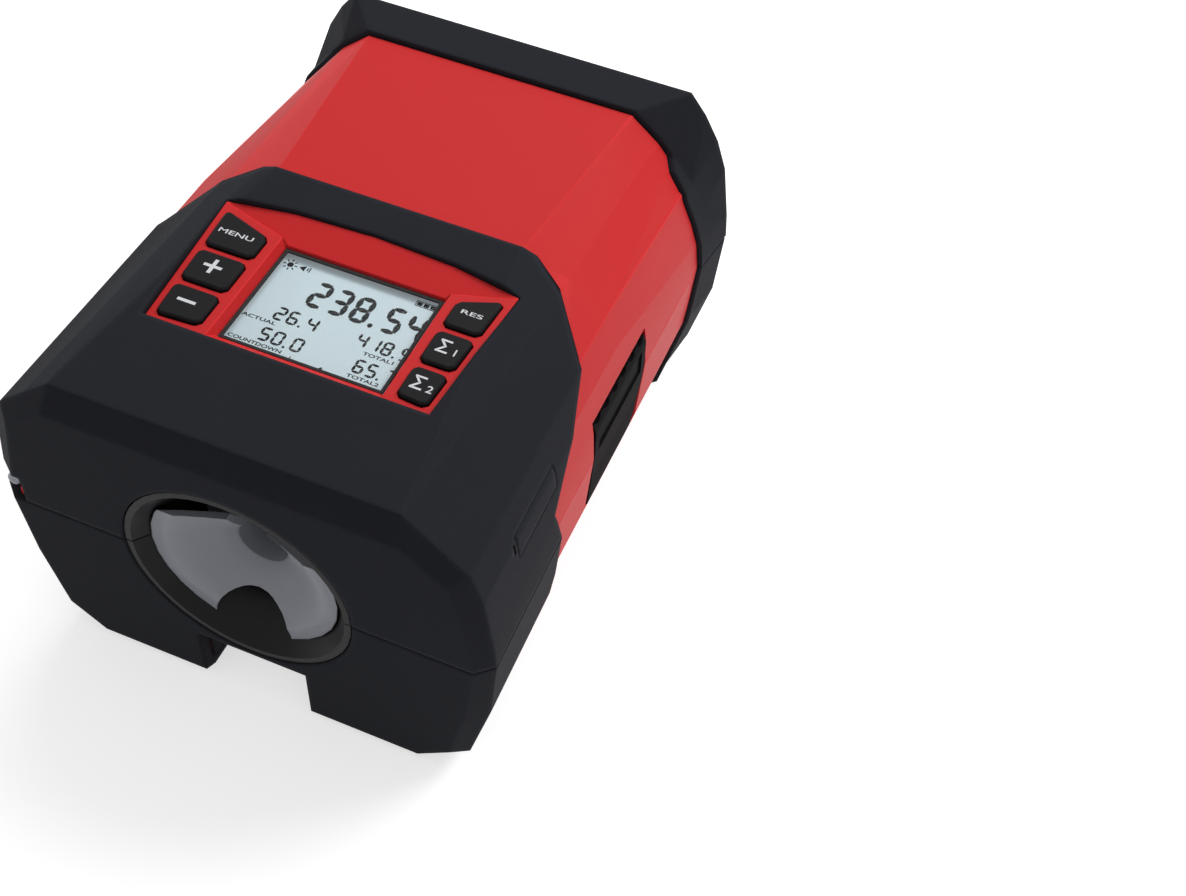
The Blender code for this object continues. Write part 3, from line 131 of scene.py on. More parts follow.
class CounterSizes(bpy.types.PropertyGroup):
    screw_diameter: length_property("Screw", "Diameter of a plate's screw head", 7.6)
    pad_screw_diameter: length_property("Pad screw", "Diameter of a pad's screw head", 6.4)
    socket_width: length_property("Socket", "Width of a screw's hexagon socket", 3.4)
    big_digit: length_property("Large digit", "Height of the main reading", 9.1)
    small_digit: length_property("Small digit", "Height of the other readings", 4.6)
    print_depth: length_property("Print", "Thickness of printed marks", 0.03)


# ---------------------------------------------------------------- materials


def add(tree, kind, inputs=None, **settings):
    """Adds one shader node: its settings, and its inputs as values or as sockets to link."""
    made = tree.nodes.new("ShaderNode" + kind)
    for key, value in settings.items():
        setattr(made, key, value)
    for key, value in (inputs or {}).items():
        if isinstance(value, bpy.types.NodeSocket):
            tree.links.new(value, made.inputs[key])
        else:
            made.inputs[key].default_value = value
    return made


def shade(colour, factor):
    """The same colour, lighter or darker, as the four values of a colour socket."""
    return tuple(min(1.0, c * factor) for c in colour) + (1.0,)


def new_material(name):
    made = bpy.data.materials.new(name)
    made.use_nodes = True
    made.node_tree.nodes.clear()
    return made


def coated(name, colour, grain, height, rough, edge=0.3, spread=0.06, cloud=14.0, tone=0.10,
           edge_wear_and_highlight=1.25, stretch=(1, 1, 1), **shader):
    """A solid finish: a slow drift of tone, rounded edges painted paler, and a fine grain in
    bump and gloss. The paler edges are wear on some finishes and a painted highlight on the red
    housing and the rubber ends. grain is the size of the grain, height its depth, edge the
    radius of the edges and cloud the size of the drift, all in millimetres."""
    made = new_material(name)
    tree = made.node_tree
    place = add(tree, "TexCoord").outputs["Object"]
    place = add(tree, "Mapping", {"Vector": place, "Scale": stretch}).outputs["Vector"]
    drift = add(tree, "TexNoise", {"Vector": place, "Scale": 1 / (cloud * MM), "Detail": 3.0})
    fine = add(tree, "TexNoise", {"Vector": place, "Scale": 1 / (grain * MM), "Detail": 2.0})
    soft = add(tree, "Bevel", {"Radius": edge * MM}, samples=6).outputs["Normal"]
    true = add(tree, "NewGeometry").outputs["True Normal"]
    turn = add(tree, "VectorMath", {0: soft, 1: true}, operation="DOT_PRODUCT")
    rim = add(tree, "MapRange", {"Value": turn.outputs["Value"], "From Min": 0.999,
                                 "From Max": 0.965})
    body = add(tree, "Mix", {0: drift.outputs["Fac"]}, data_type="RGBA")
    body.inputs[6].default_value = shade(colour, 1 - tone)
    body.inputs[7].default_value = shade(colour, 1 + tone)
    # Edges painted paler: wear on some finishes, a painted highlight on the red housing and the
    # rubber ends.
    worn_and_highlit = add(tree, "Mix", {0: rim.outputs["Result"]}, data_type="RGBA")
    tree.links.new(body.outputs[2], worn_and_highlit.inputs[6])
    worn_and_highlit.inputs[7].default_value = shade(colour, edge_wear_and_highlight)
    gloss = add(tree, "MapRange", {"Value": fine.outputs["Fac"], "From Min": 0.3,
                                   "From Max": 0.7, "To Min": rough - spread,
                                   "To Max": rough + spread})
    relief = add(tree, "Bump", {"Height": fine.outputs["Fac"], "Distance": height * MM,
                                "Strength": 1.0, "Normal": soft})
    surface = add(tree, "BsdfPrincipled", {"Base Color": worn_and_highlit.outputs[2],
                                           "Roughness": gloss.outputs["Result"],
                                           "Normal": relief.outputs["Normal"], **shader})
    add(tree, "OutputMaterial", {"Surface": surface.outputs["BSDF"]})
    return made


def red_abs(colours):
    # ABS housing, injection moulded in a spark-eroded tool: an even satin red with a fine
    # orange-peel grain. Its edges are painted slightly paler, a painted highlight along them.
    # The real 0.1 mm grain is drawn at 0.35 mm, because it wouldn't show otherwise.
    return coated("Moulded ABS, satin red", colours.shell, 0.35, 0.012, 0.46, edge=0.4,
                  tone=0.03, edge_wear_and_highlight=1.5, cloud=60, **{"Specular IOR Level": 0.08})


def rubber_tpe(colours):
    # Thermoplastic rubber, overmoulded on the shell: a dull charcoal that scatters light. Its
    # edges are painted paler, a painted highlight along them. Its 0.2 mm grain is drawn at 0.5
    # mm to show.
    return coated("Overmoulded TPE rubber", colours.rubber, 0.5, 0.018, 0.70, edge=2.0,
                  tone=0.06, edge_wear_and_highlight=1.25, **{"Specular IOR Level": 0.05})


def nylon_plates(colours, code=None):
    # Glass-filled nylon, moulded: near-black with a silky sheen and a faint cloudy flow. Thin
    # lips get a painted highlight in a paler tone, the turned mouths painted shade in a darker
    # one: code gives that tone.
    colour = tint(code) if code else colours.plates
    return coated("Glass-filled nylon, black", colour, 0.4, 0.010, 0.40, tone=0.12, edge_wear_and_highlight=1.5,
                  **{"Specular IOR Level": 0.14})


def gloss_abs(colours):
    # Polished ABS of the latch: deep black, a little scuffed. Its thin gloss comes from the
    # coat alone, because the bright floor would turn it grey at a flat angle.
    return coated("Polished ABS, black", colours.latch, 1.4, 0.004, 0.40, spread=0.05,
                  tone=0.10, edge_wear_and_highlight=2.2, **{"Specular IOR Level": 0.0, "Coat Weight": 0.06,
                                          "Coat Roughness": 0.2})


def key_caps(colours):
    # Silicone key caps, compression moulded: soft black, satin, with rubbed rims.
    return coated("Silicone key caps", colours.keys, 0.3, 0.008, 0.50, tone=0.08, edge_wear_and_highlight=1.8,
                  **{"Specular IOR Level": 0.08})


def guide_polymer(colours):
    # Acetal guides, moulded: mid grey, waxy and slightly cloudy.
    return coated("Moulded acetal, grey", colours.guides, 0.4, 0.010, 0.45, tone=0.07,
                  edge_wear_and_highlight=1.15, **{"Specular IOR Level": 0.2, "Subsurface Weight": 0.02,
                                "Subsurface Scale": 2 * MM})


def catch_polymer():
    # The same acetal in a darker grey, rubbed by the latch.
    return coated("Moulded acetal, dark grey", tint("#55575C"), 0.4, 0.010, 0.42, tone=0.10,
                  **{"Specular IOR Level": 0.2})


def turned_steel():
    # Bright steel turned on a lathe: fine rings across the axis blur its highlights.
    return coated("Turned stainless steel", tint("#B9BBBE"), 0.5, 0.006, 0.24, spread=0.08,
                  tone=0.06, edge_wear_and_highlight=1.1, stretch=(8, 1, 1), Metallic=1.0)


def ring_steel():
    # Steel blackened in a hot salt bath: nearly black, painted paler grey on the rims.
    return coated("Blackened ring steel", tint("#2B2C2E"), 0.3, 0.005, 0.50, tone=0.10,
                  edge_wear_and_highlight=6.0, Metallic=1.0)


def spring_wire():
    # Drawn spring wire, oiled: grey steel with long fine scratches.
    return coated("Drawn spring wire", tint("#55575B"), 0.3, 0.004, 0.42, tone=0.08,
                  edge_wear_and_highlight=1.2, stretch=(1, 6, 1), Metallic=1.0)


def black_oxide():
    # Screws in black oxide: dark grey metal, worn to steel on the rims.
    return coated("Black-oxide screw steel", tint("#6E7175"), 0.3, 0.006, 0.34, tone=0.10,
                  edge_wear_and_highlight=1.5, Metallic=1.0)


def wheel_rubber():
    # Vulcanised rubber of the measuring wheel: black, dusty in its grooves.
    return coated("Vulcanised wheel rubber", tint("#1B1C1E"), 0.6, 0.020, 0.60, tone=0.15,
                  edge_wear_and_highlight=1.9, **{"Specular IOR Level": 0.1})


def ferrite():
    # Sintered ferrite of the magnet ring: dark grey, grainy and dull.
    return coated("Sintered ferrite", tint("#3A3B3D"), 0.5, 0.020, 0.6, tone=0.15)


def board_laminate():
    # Glass-epoxy board with a green solder mask: the copper tracks below show as a raised
    # grid of paler lines, 1.6 mm apart.
    made = new_material("Glass-epoxy board, green mask")
    tree = made.node_tree
    place = add(tree, "TexCoord").outputs["Object"]
    tracks = add(tree, "TexBrick", {"Vector": place, "Scale": 1 / (8 * MM), "Mortar Size": 0.04,
                                    "Color1": shade(tint("#12603A"), 1.0),
                                    "Color2": shade(tint("#0F5433"), 1.0),
                                    "Mortar": shade(tint("#2A8A55"), 1.0)})
    relief = add(tree, "Bump", {"Height": tracks.outputs["Fac"], "Distance": 0.02 * MM})
    surface = add(tree, "BsdfPrincipled", {"Base Color": tracks.outputs["Color"],
                                           "Roughness": 0.32,
                                           "Normal": relief.outputs["Normal"]})
    add(tree, "OutputMaterial", {"Surface": surface.outputs["BSDF"]})
    return made


def window_pane():
    # Hard-coated acrylic window: almost invisible, it only adds a soft reflection. It is
    # thin, so it is see-through by alpha and casts hardly any shade on the display.
    return coated("Hard-coated acrylic window", tint("#3A4247"), 3.0, 0.002, 0.06, spread=0.03,
                  tone=0.02, edge_wear_and_highlight=1.0, Alpha=0.08, IOR=1.49)


def display_film(colours):
    # Liquid crystal cell over a white reflector: a pale blue-green ground with the fine weave
    # of its electrodes. The ground is painted brighter towards its rear edge and given a faint
    # glow of its own: painted light.
    made = new_material("Reflective liquid crystal cell")
    tree = made.node_tree
    place = add(tree, "TexCoord").outputs["Object"]
    apart = add(tree, "SeparateXYZ", {"Vector": place})
    # The ground grows brighter towards the rear edge: painted light.
    painted_rear_light = add(tree, "MapRange", {"Value": apart.outputs["Y"], "From Min": -50 * MM,
                                  "From Max": -10 * MM})
    weave = add(tree, "TexNoise", {"Vector": place, "Scale": 1 / (0.6 * MM), "Detail": 1.0})
    ground = add(tree, "Mix", {0: painted_rear_light.outputs["Result"]}, data_type="RGBA")
    ground.inputs[6].default_value = shade(colours.screen, 0.97)
    ground.inputs[7].default_value = shade(colours.screen, 1.04)
    speckled = add(tree, "Mix", {0: 0.04}, data_type="RGBA", blend_type="MULTIPLY")
    tree.links.new(ground.outputs[2], speckled.inputs[6])
    tree.links.new(weave.outputs["Color"], speckled.inputs[7])
    surface = add(tree, "BsdfPrincipled", {"Base Color": speckled.outputs[2], "Roughness": 0.45,
                                           "Specular IOR Level": 0.1,
                                           # A faint glow in the cell's own colour: painted
                                           # light.
                                           "Emission Color": speckled.outputs[2],
                                           "Emission Strength": 0.22})
    add(tree, "OutputMaterial", {"Surface": surface.outputs["BSDF"]})
    return made


def segment_ink(colours):
    # Switched-on crystal: a dark blue-black that is a little uneven.
    return coated("Liquid crystal segment", colours.segments, 0.5, 0.001, 0.5, edge=0.01,
                  tone=0.12, edge_wear_and_highlight=1.0, **{"Specular IOR Level": 0.1})


def key_print(colours):
    # Screen-printed key mark: matt off-white ink with a slightly rough edge.
    return coated("Screen-printed ink, white", colours.marks, 0.25, 0.004, 0.55, edge=0.01,
                  tone=0.05, edge_wear_and_highlight=1.0)


def cell_jacket():
    # Shrink film on the cells: dark and glossy, finely wrinkled.
    return coated("PVC shrink film", tint("#3B3F4A"), 1.2, 0.02, 0.25, tone=0.15, edge_wear_and_highlight=1.2)


def soft_foam():
    # Closed-cell foam of the gasket: black, open grain and dull.
    return coated("Closed-cell foam", tint("#1A1A1B"), 0.7, 0.06, 0.85, tone=0.2, edge_wear_and_highlight=1.0)


# ---------------------------------------------------------------- modelling tools


def deselect():
    for piece in list(bpy.context.selected_objects):
        piece.select_set(False)


def activate(piece):
    deselect()
    piece.select_set(True)
    bpy.context.view_layer.objects.active = piece


def in_edit(piece):
    activate(piece)
    bpy.ops.object.mode_set(mode="EDIT")
    bpy.ops.mesh.select_all(action="SELECT")


def out_of_edit():
    bpy.ops.object.mode_set(mode="OBJECT")


def pick(piece, kind, wanted):
    """Opens a piece for editing, with those of its faces or edges selected that are wanted."""
    in_edit(piece)
    bpy.ops.mesh.select_mode(type=kind)
    bpy.ops.mesh.select_all(action="DESELECT")
    shape = bmesh.from_edit_mesh(piece.data)
    for part in shape.faces if kind == "FACE" else shape.edges:
        part.select = wanted(part)
    bmesh.update_edit_mesh(piece.data)


def round_off(piece, radius, segments):
    """Rounds the selected edges of a piece that is open for editing, and closes it."""
    bpy.ops.mesh.bevel(offset=radius, segments=segments, affect="EDGES")
    out_of_edit()
    return piece


def thicken(depth):
    """Gives the flat shapes that are open for editing a depth, and closes them."""
    bpy.ops.mesh.extrude_region_move(TRANSFORM_OT_translate={"value": (0, 0, depth)})
    bpy.ops.mesh.select_all(action="SELECT")
    bpy.ops.mesh.normals_make_consistent(inside=False)
    out_of_edit()


def settle(piece):
    """Moves the piece's place into its mesh, so that the object sits at the origin."""
    bpy.context.view_layer.update()
    piece.data.transform(piece.matrix_world)
    piece.matrix_world = Matrix.Identity(4)
    return piece


def hand_over(piece, name, finish, body):
    """Gives a finished piece its name, material and CAD body."""
    piece.name = name
    piece.data.name = name
    piece.data.materials.clear()
    piece.data.materials.append(finish)
    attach(piece, body)
    return piece


def joined(parts):
    """One object made of all the parts."""
    activate(parts[0])
    for part in parts:
        part.select_set(True)
    if len(parts) > 1:
        bpy.ops.object.join()
    return bpy.context.view_layer.objects.active


def gathered(pattern, places):
    """One object made of copies of the pattern's mesh, one for each matrix in places."""
    copies = []
    for place in places:
        copy = pattern.copy()
        copy.data = pattern.data.copy()
        copy.data.transform(place)
        bpy.context.scene.collection.objects.link(copy)
        copies.append(copy)
    bpy.data.objects.remove(pattern)
    return joined(copies)


def copied_node(node):
    """A copy of a CAD node whose loose triangles are merged and whose flats are whole."""
    source = frame["nodes"][node]
    copy = bpy.data.objects.new(node + "_finish", source.data.copy())
    bpy.context.scene.collection.objects.link(copy)
    activate(copy)
    bpy.ops.mesh.customdata_custom_splitnormals_clear()
    in_edit(copy)
    bpy.ops.mesh.remove_doubles(threshold=1e-6)
    bpy.ops.mesh.dissolve_limited(angle_limit=math.radians(0.5))
    out_of_edit()
    return copy


def smooth(piece, angle=CURVE_ANGLE):
    activate(piece)
    bpy.ops.object.shade_smooth_by_angle(angle=math.radians(angle))


def crease(piece):
    """Marks the long edges between the flats of the housing as sharp, except on the hinge."""
    shape = bmesh.new()
    shape.from_mesh(piece.data)
    for edge in shape.edges:
        if edge.is_manifold and edge.calc_length() > LONG_EDGE:
            turned = edge.calc_face_angle() > math.radians(CREASE_ANGLE)
            if turned and min(v.co.x for v in edge.verts) > HINGE_SIDE:
                edge.smooth = False
    shape.to_mesh(piece.data)
    shape.free()


def join_flats(piece):
    """Joins the two long triangles of each twisted flat of the housing into one patch."""
    def wanted(edge):
        run = edge.verts[1].co - edge.verts[0].co
        across = math.hypot(run.x, run.z)
        pair = [len(face.verts) for face in edge.link_faces] == [3, 3]
        return pair and abs(run.y) > FLAT_LENGTH and across > FLAT_WIDTH

    pick(piece, "EDGE", wanted)
    bpy.ops.mesh.dissolve_edges(use_verts=False)
    out_of_edit()


def even_flats(piece):
    """Divides the twisted flats evenly, so that each is shaded as one smooth sweep."""
    def wanted(face):
        spots = [v.co for v in face.verts]
        side = (spots[1] - spots[0]).cross(spots[2] - spots[0]).normalized()
        return len(spots) == 4 and abs(side.dot(spots[3] - spots[0])) > FLAT_TWIST

    pick(piece, "FACE", wanted)
    bpy.ops.mesh.subdivide(number_cuts=FLAT_CUTS)
    out_of_edit()


def dress(node, finish, faceted=False):
    """A copy of a CAD node in its real finish, standing for that node."""
    body = frame["nodes"][node]["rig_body"]
    piece = copied_node(node)
    if faceted:
        join_flats(piece)
        smooth(piece, FACET_ANGLE)
        crease(piece)
        even_flats(piece)
    else:
        smooth(piece)
    hand_over(piece, node + "_finish", finish, body)
    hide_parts(node)
    return piece


def cylinder(radius, depth, sides, place):
    """A cylinder along Z whose top face is at the origin, then moved by the matrix place."""
    deselect()
    bpy.ops.mesh.primitive_cylinder_add(
        vertices=sides, radius=radius, depth=depth, location=(0, 0, -depth / 2)
    )
    made = settle(bpy.context.view_layer.objects.active)
    made.data.transform(place)
    return made


def metres(values):
    """Millimetres in metres."""
    return tuple(value * MM for value in values)


def placed(spot):
    """The matrix that moves a piece to a spot in millimetres."""
    return Matrix.Translation(metres(spot))


def block(size, place):
    """A box of a size around the origin, moved by the matrix place."""
    deselect()
    bpy.ops.mesh.primitive_cube_add(size=1.0)
    made = bpy.context.view_layer.objects.active
    made.data.transform(place @ Matrix.Diagonal((*size, 1)))
    return made


def carve(piece, cutters, angle=CURVE_ANGLE):
    """Cuts the cutters out of a piece and removes them."""
    for cutter in cutters:
        change = piece.modifiers.new("carve", "BOOLEAN")
        change.operation = "DIFFERENCE"
        change.solver = "EXACT"
        change.object = cutter
        activate(piece)
        bpy.ops.object.modifier_apply(modifier=change.name)
        bpy.data.objects.remove(cutter)
    smooth(piece, angle)
    return piece


def paint(nodes, finish):
    """The finish on CAD nodes whose shape stays as it is."""
    for node in nodes:
        mesh = frame["nodes"][node].data
        mesh.materials.clear()
        mesh.materials.append(finish)


# ---------------------------------------------------------------- the pieces


class COUNTER_OT_shells(bpy.types.Operator):
    """Red moulded housing: both shells, the display surround and the measuring arm"""

    bl_idname = "counter.shells"
    bl_label = "Red housing"

    def execute(self, context):
        finish = red_abs(context.scene.counter_colours)
        for node in ("lower_shell", "upper_shell", "display_bezel", "measuring_arm"):
            dress(node, finish, faceted=True)
        return {"FINISHED"}


class COUNTER_OT_rubber(bpy.types.Operator):
    """Rubber ends of both halves and the cover of the charging port"""

    bl_idname = "counter.rubber"
    bl_label = "Rubber ends"

    def execute(self, context):
        finish = rubber_tpe(context.scene.counter_colours)
        for node in ("front_bumper_lower", "rear_bumper_lower", "front_bumper_upper",
                     "rear_bumper_upper", "port_cover"):
            dress(node, finish, faceted=True)
        return {"FINISHED"}


class COUNTER_OT_plates(bpy.types.Operator):
    """Black inner plates and the cable funnels"""

    bl_idname = "counter.plates"
    bl_label = "Inner plates"

    def execute(self, context):
        finish = nylon_plates(context.scene.counter_colours)
        for node in ("base_plate", "lid_plate"):
            dress(node, finish)
        # The funnels' turned mouths in a darker black: painted shade.
        dark = nylon_plates(context.scene.counter_colours, "#131416")
        for node in ("front_funnel_lower", "rear_funnel_lower", "front_funnel_upper",
                     "rear_funnel_upper"):
            dress(node, dark)
        return {"FINISHED"}


class COUNTER_OT_latch(bpy.types.Operator):
    """Latch with its grip and the grey bar that it holds"""

    bl_idname = "counter.latch"
    bl_label = "Latch"

    def execute(self, context):
        dress("latch", gloss_abs(context.scene.counter_colours))
        dress("catch_bar", catch_polymer())
        return {"FINISHED"}


class COUNTER_OT_guides(bpy.types.Operator):
    """Grey cable guides, front and rear"""

    bl_idname = "counter.guides"
    bl_label = "Cable guides"

    def execute(self, context):
        finish = guide_polymer(context.scene.counter_colours)
        for node in ("front_cable_guide", "rear_cable_guide"):
            dress(node, finish)
        return {"FINISHED"}


class COUNTER_OT_wheel(bpy.types.Operator):
    """Measuring wheel with its end rings, axle, bearings and magnet"""

    bl_idname = "counter.wheel"
    bl_label = "Measuring wheel"

    def execute(self, context):
        dress("measuring_wheel", wheel_rubber())
        rings = ring_steel()
        for node in ("wheel_end_ring_left", "wheel_end_ring_right"):
            dress(node, rings)
        steel = turned_steel()
        for node in ("wheel_axle", "mounting_rod", "hinge_pin_front", "hinge_pin_rear",
                     "latch_pin", "pivot_pin_left", "pivot_pin_right"):
            dress(node, steel)
        wire = spring_wire()
        for node in ("hinge_spring_front", "hinge_spring_rear", "arm_spring"):
            dress(node, wire)
        paint(("wheel_bearing_left", "wheel_bearing_right"), steel)
        paint(("magnet_ring",), ferrite())
        return {"FINISHED"}


class COUNTER_OT_electronics(bpy.types.Operator):
    """Boards, mats, buzzer, tray and cells inside the housing"""

    bl_idname = "counter.electronics"
    bl_label = "Inside parts"

    def execute(self, context):
        colours = context.scene.counter_colours
        paint(("circuit_board", "sensor_board"), board_laminate())
        paint(("keypad_mat_left", "keypad_mat_right"), key_caps(colours))
        paint(("buzzer", "battery_tray"), nylon_plates(colours))
        paint(("battery_cell_1", "battery_cell_2", "battery_cell_3"), cell_jacket())
        paint(("display_gasket",), soft_foam())
        return {"FINISHED"}


# Middles of the screw heads in X and Y, in millimetres
BASE_SCREWS = ((48.7, -70.0), (47.1, -22.0), (49.4, 34.0), (48.1, 71.0),
               (-52.6, -66.0), (-52.6, -18.0), (-52.6, 36.0), (-52.6, 72.0))
LID_SCREWS = ((44.5, -69.0), (45.7, -19.4), (45.6, 35.0), (44.9, 72.0),
              (-52.6, -66.0), (-52.6, -18.0), (-52.6, 36.0), (-52.6, 72.0))
PAD_SCREWS = ((25.4, -73.8), (-25.4, -73.8), (25.4, 73.8), (-25.4, 73.8))
# Degrees by which each screw is turned further than the one before it
SCREW_TURN = 37
# A seat is this much wider than its head, and its cutter stands out of the plate by SEAT_RISE
SEAT_GAP, SEAT_DEPTH, SEAT_RISE = 0.15 * MM, 2.1 * MM, 0.5 * MM
HEAD_HEIGHT, HEAD_EDGE, HEAD_SUNK = 1.3 * MM, 0.5 * MM, 0.15 * MM
# Radius of the head that socket_width belongs to, and the cutter of the socket
SOCKET_HEAD, SOCKET_DEPTH, SOCKET_RISE = 4.0 * MM, 1.4 * MM, 0.4 * MM
ROUND_SIDES = 32


class COUNTER_OT_screws(bpy.types.Operator):
    """Countersunk socket screws in the inner plates and in the pads of the cable mouths"""

    bl_idname = "counter.screws"
    bl_label = "Screws"

    def execute(self, context):
        finish = black_oxide()
        head = context.scene.counter_sizes.screw_diameter / 2
        pad_head = context.scene.counter_sizes.pad_screw_diameter / 2
        deck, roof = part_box("front_funnel_lower")[1].z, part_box("lid_plate")[0].z
        halves = (("lower", "base_plate", "base", BASE_SCREWS, deck, 0.0),
                  ("upper", "lid_plate", "lid", LID_SCREWS, roof, math.pi))
        for half, plate, body, spots, level, flip in halves:
            places = self.spots(spots, level, flip)
            self.seat(plate, head, places)
            self.fit(plate + "_screws", head, places, finish, body)
            pads = self.spots(PAD_SCREWS, level, flip)
            self.seat("front_funnel_" + half, pad_head, pads[:2])
            self.seat("rear_funnel_" + half, pad_head, pads[2:])
            self.fit("funnel_screws_" + half, pad_head, pads, finish, body)
        return {"FINISHED"}

    def spots(self, places, level, flip):
        """A matrix for each screw, each turned differently in its thread."""
        return [Matrix.Translation((x * MM, y * MM, level)) @ Matrix.Rotation(flip, 4, "X")
                @ Matrix.Rotation(math.radians(SCREW_TURN * k), 4, "Z")
                for k, (x, y) in enumerate(places)]

    def seat(self, node, radius, places):
        """Cuts the screws' round seats into a plate."""
        lift = Matrix.Translation((0, 0, SEAT_RISE))
        cutters = [cylinder(radius + SEAT_GAP, SEAT_DEPTH, ROUND_SIDES, place @ lift)
                   for place in places]
        carve(bpy.data.objects[node + "_finish"], cutters)

    def fit(self, name, radius, places, finish, body):
        """Models one screw head and puts a copy into each seat."""
        screw = cylinder(radius, HEAD_HEIGHT, ROUND_SIDES, Matrix.Identity(4))
        pick(screw, "FACE", lambda face: face.normal.z > FACING)
        round_off(screw, HEAD_EDGE, 2)
        width = bpy.context.scene.counter_sizes.socket_width * radius / SOCKET_HEAD
        socket = cylinder(width / math.sqrt(3), SOCKET_DEPTH, 6,
                          Matrix.Translation((0, 0, SOCKET_RISE)))
        carve(screw, [socket])
        sunk = Matrix.Translation((0, 0, -HEAD_SUNK))
        group = gathered(screw, [place @ sunk for place in places])
        smooth(group)
        hand_over(group, name, finish, body)


# Small details: radius, length and front of the pin's head, and sizes and middles of the lug
# beside it, of the corner and the mark cut from the front end and of the well round the rod.
# All in millimetres, as are the thickness of the well's skin and the roundings.
PIN_RADIUS, PIN_LENGTH, PIN_FRONT = 1.95, 4.2, (-64.4, -84.2, 57.4)
LUG_SIZE, LUG_MIDDLE = (2.2, 2.6, 3.0), (-61.6, -83.1, 54.6)
CORNER_SIZE, CORNER_MIDDLE = (12.0, 6.1, 3.2), (-66.2, -84.95, 60.9)
MARK_SIZE, MARK_MIDDLE = (5.0, 0.9, 3.4), (66.4, -64.6, 77.0)
WELL_SIZE, WELL_MIDDLE = (31.6, 25.8, 16.4), (0.0, -69.1, 12.15)
WELL_SKIN = 0.3
LIP_ROUNDING, LUG_ROUNDING, PIN_ROUNDING = 0.15, 0.4, 0.8
# Width and height of a slit's lip, the lower and upper end of the first slit's middle on the
# chamber's wall, how far it is to the next slit, and where the two lips lie beside a slit
LIP_WIDTH, LIP_HEIGHT = 0.7, 0.6
SLIT_LOW, SLIT_HIGH = (32.75, 0, 58.8), (30.0, 6.7, 71.1)
SLITS, SLIT_START, SLIT_PITCH, LIP_SIDES = 3, -6.5, 6.5, (-0.3, 1.9)


class COUNTER_OT_details(bpy.types.Operator):
    """Lips of the sound slits, end of the front hinge, skin of the rod's well"""

    bl_idname = "counter.details"
    bl_label = "Small details"

    def execute(self, context):
        colours = context.scene.counter_colours
        # The slits' lips in a paler grey: a painted highlight.
        lips = [self.eased(block((LIP_WIDTH * MM, LIP_HEIGHT * MM, 1.0), place), LIP_ROUNDING)
                for place in self.lip_places()]
        self.gather(lips, "slit_lips", nylon_plates(colours, "#4A4C50"), "lid",
                    "black_polymer")
        place = placed(PIN_FRONT) @ Matrix.Rotation(math.radians(90), 4, "X")
        pin = cylinder(PIN_RADIUS * MM, PIN_LENGTH * MM, 24, place)
        pick(pin, "FACE", lambda face: face.normal.y < -FACING)
        round_off(pin, PIN_ROUNDING * MM, 4)
        self.gather([pin], "hinge_pin_head", black_oxide(), "base", "steel")
        lug = self.eased(block(metres(LUG_SIZE), placed(LUG_MIDDLE)), LUG_ROUNDING)
        self.gather([lug], "hinge_lug", red_abs(colours), "base", "red_polymer")
        corner = block(metres(CORNER_SIZE), placed(CORNER_MIDDLE))
        mark = block(metres(MARK_SIZE), placed(MARK_MIDDLE))
        bumper = bpy.data.objects["front_bumper_upper_finish"]
        carve(bumper, [corner, mark], FACET_ANGLE)
        crease(bumper)
        self.line_well(rubber_tpe(colours))
        return {"FINISHED"}

    def line_well(self, finish):
        """A thin rubber skin on three walls of the well around the mounting rod."""
        skin = block(metres(WELL_SIZE), placed(WELL_MIDDLE))
        pick(skin, "FACE", lambda face: abs(face.normal.z) > FACING or face.normal.y < -FACING)
        bpy.ops.mesh.delete(type="FACE")
        out_of_edit()
        wall = skin.modifiers.new("wall", "SOLIDIFY")
        wall.thickness = WELL_SKIN * MM
        activate(skin)
        bpy.ops.object.modifier_apply(modifier=wall.name)
        self.gather([skin], "rod_well_skin", finish, "base", "black_rubber")

    def eased(self, piece, radius):
        """Rounds all edges of a block by a radius in millimetres."""
        in_edit(piece)
        return round_off(piece, radius * MM, 2)

    def lip_places(self):
        """Matrices of the two lips beside each slit, on the sloping wall of the chamber."""
        low, high = Vector(SLIT_LOW) * MM, Vector(SLIT_HIGH) * MM
        run = high - low
        frame_x = Vector((1, 0, 0)) - run * run.x / run.length_squared
        basis = Matrix((frame_x.normalized(), run.cross(frame_x).normalized(),
                        run)).transposed().to_4x4()
        places = []
        for k in range(SLITS):
            for side in LIP_SIDES:
                y = (SLIT_START + SLIT_PITCH * k + side) * MM
                places.append(Matrix.Translation((low + high) / 2 + Vector((0, y, 0))) @ basis)
        return places

    def gather(self, parts, name, finish, body, slot):
        """Joins the parts of a detail, smooths them and hands them over."""
        made = joined(parts)
        smooth(made)
        hand_over(made, name, finish, body)


KEYS = ("key_menu", "key_plus", "key_minus", "key_reset", "key_sum_1", "key_sum_2")
DASH, SIGMA = "\u2013", "\u03a3"
# Marks on the keys: text, height and stretch, and the place of the middle in millimetres.
# A dash gives its width in millimetres in the place of the stretch. Three make the plus sign.
KEY_MARKS = {
    "key_menu": [("MENU", 1.5, 1.7, -31.8, -20.3)],
    "key_plus": [(DASH, 0.9, 5.0, -31.2, -32.6), (DASH, 2.0, 1.0, -31.2, -31.15),
                 (DASH, 2.0, 1.0, -31.2, -34.05)],
    "key_minus": [(DASH, 0.9, 5.0, -30.8, -45.5)],
    "key_reset": [("RES", 1.35, 2.0, 33.4, -20.4)],
    "key_sum_1": [(SIGMA, 4.0, 0.95, 31.8, -32.7), ("1", 2.2, 1.1, 35.2, -33.7)],
    "key_sum_2": [(SIGMA, 4.0, 0.95, 31.4, -45.6), ("2", 2.2, 1.1, 34.8, -46.6)],
}


# Height of a capital as a share of the font's size
CAPITAL = 0.7


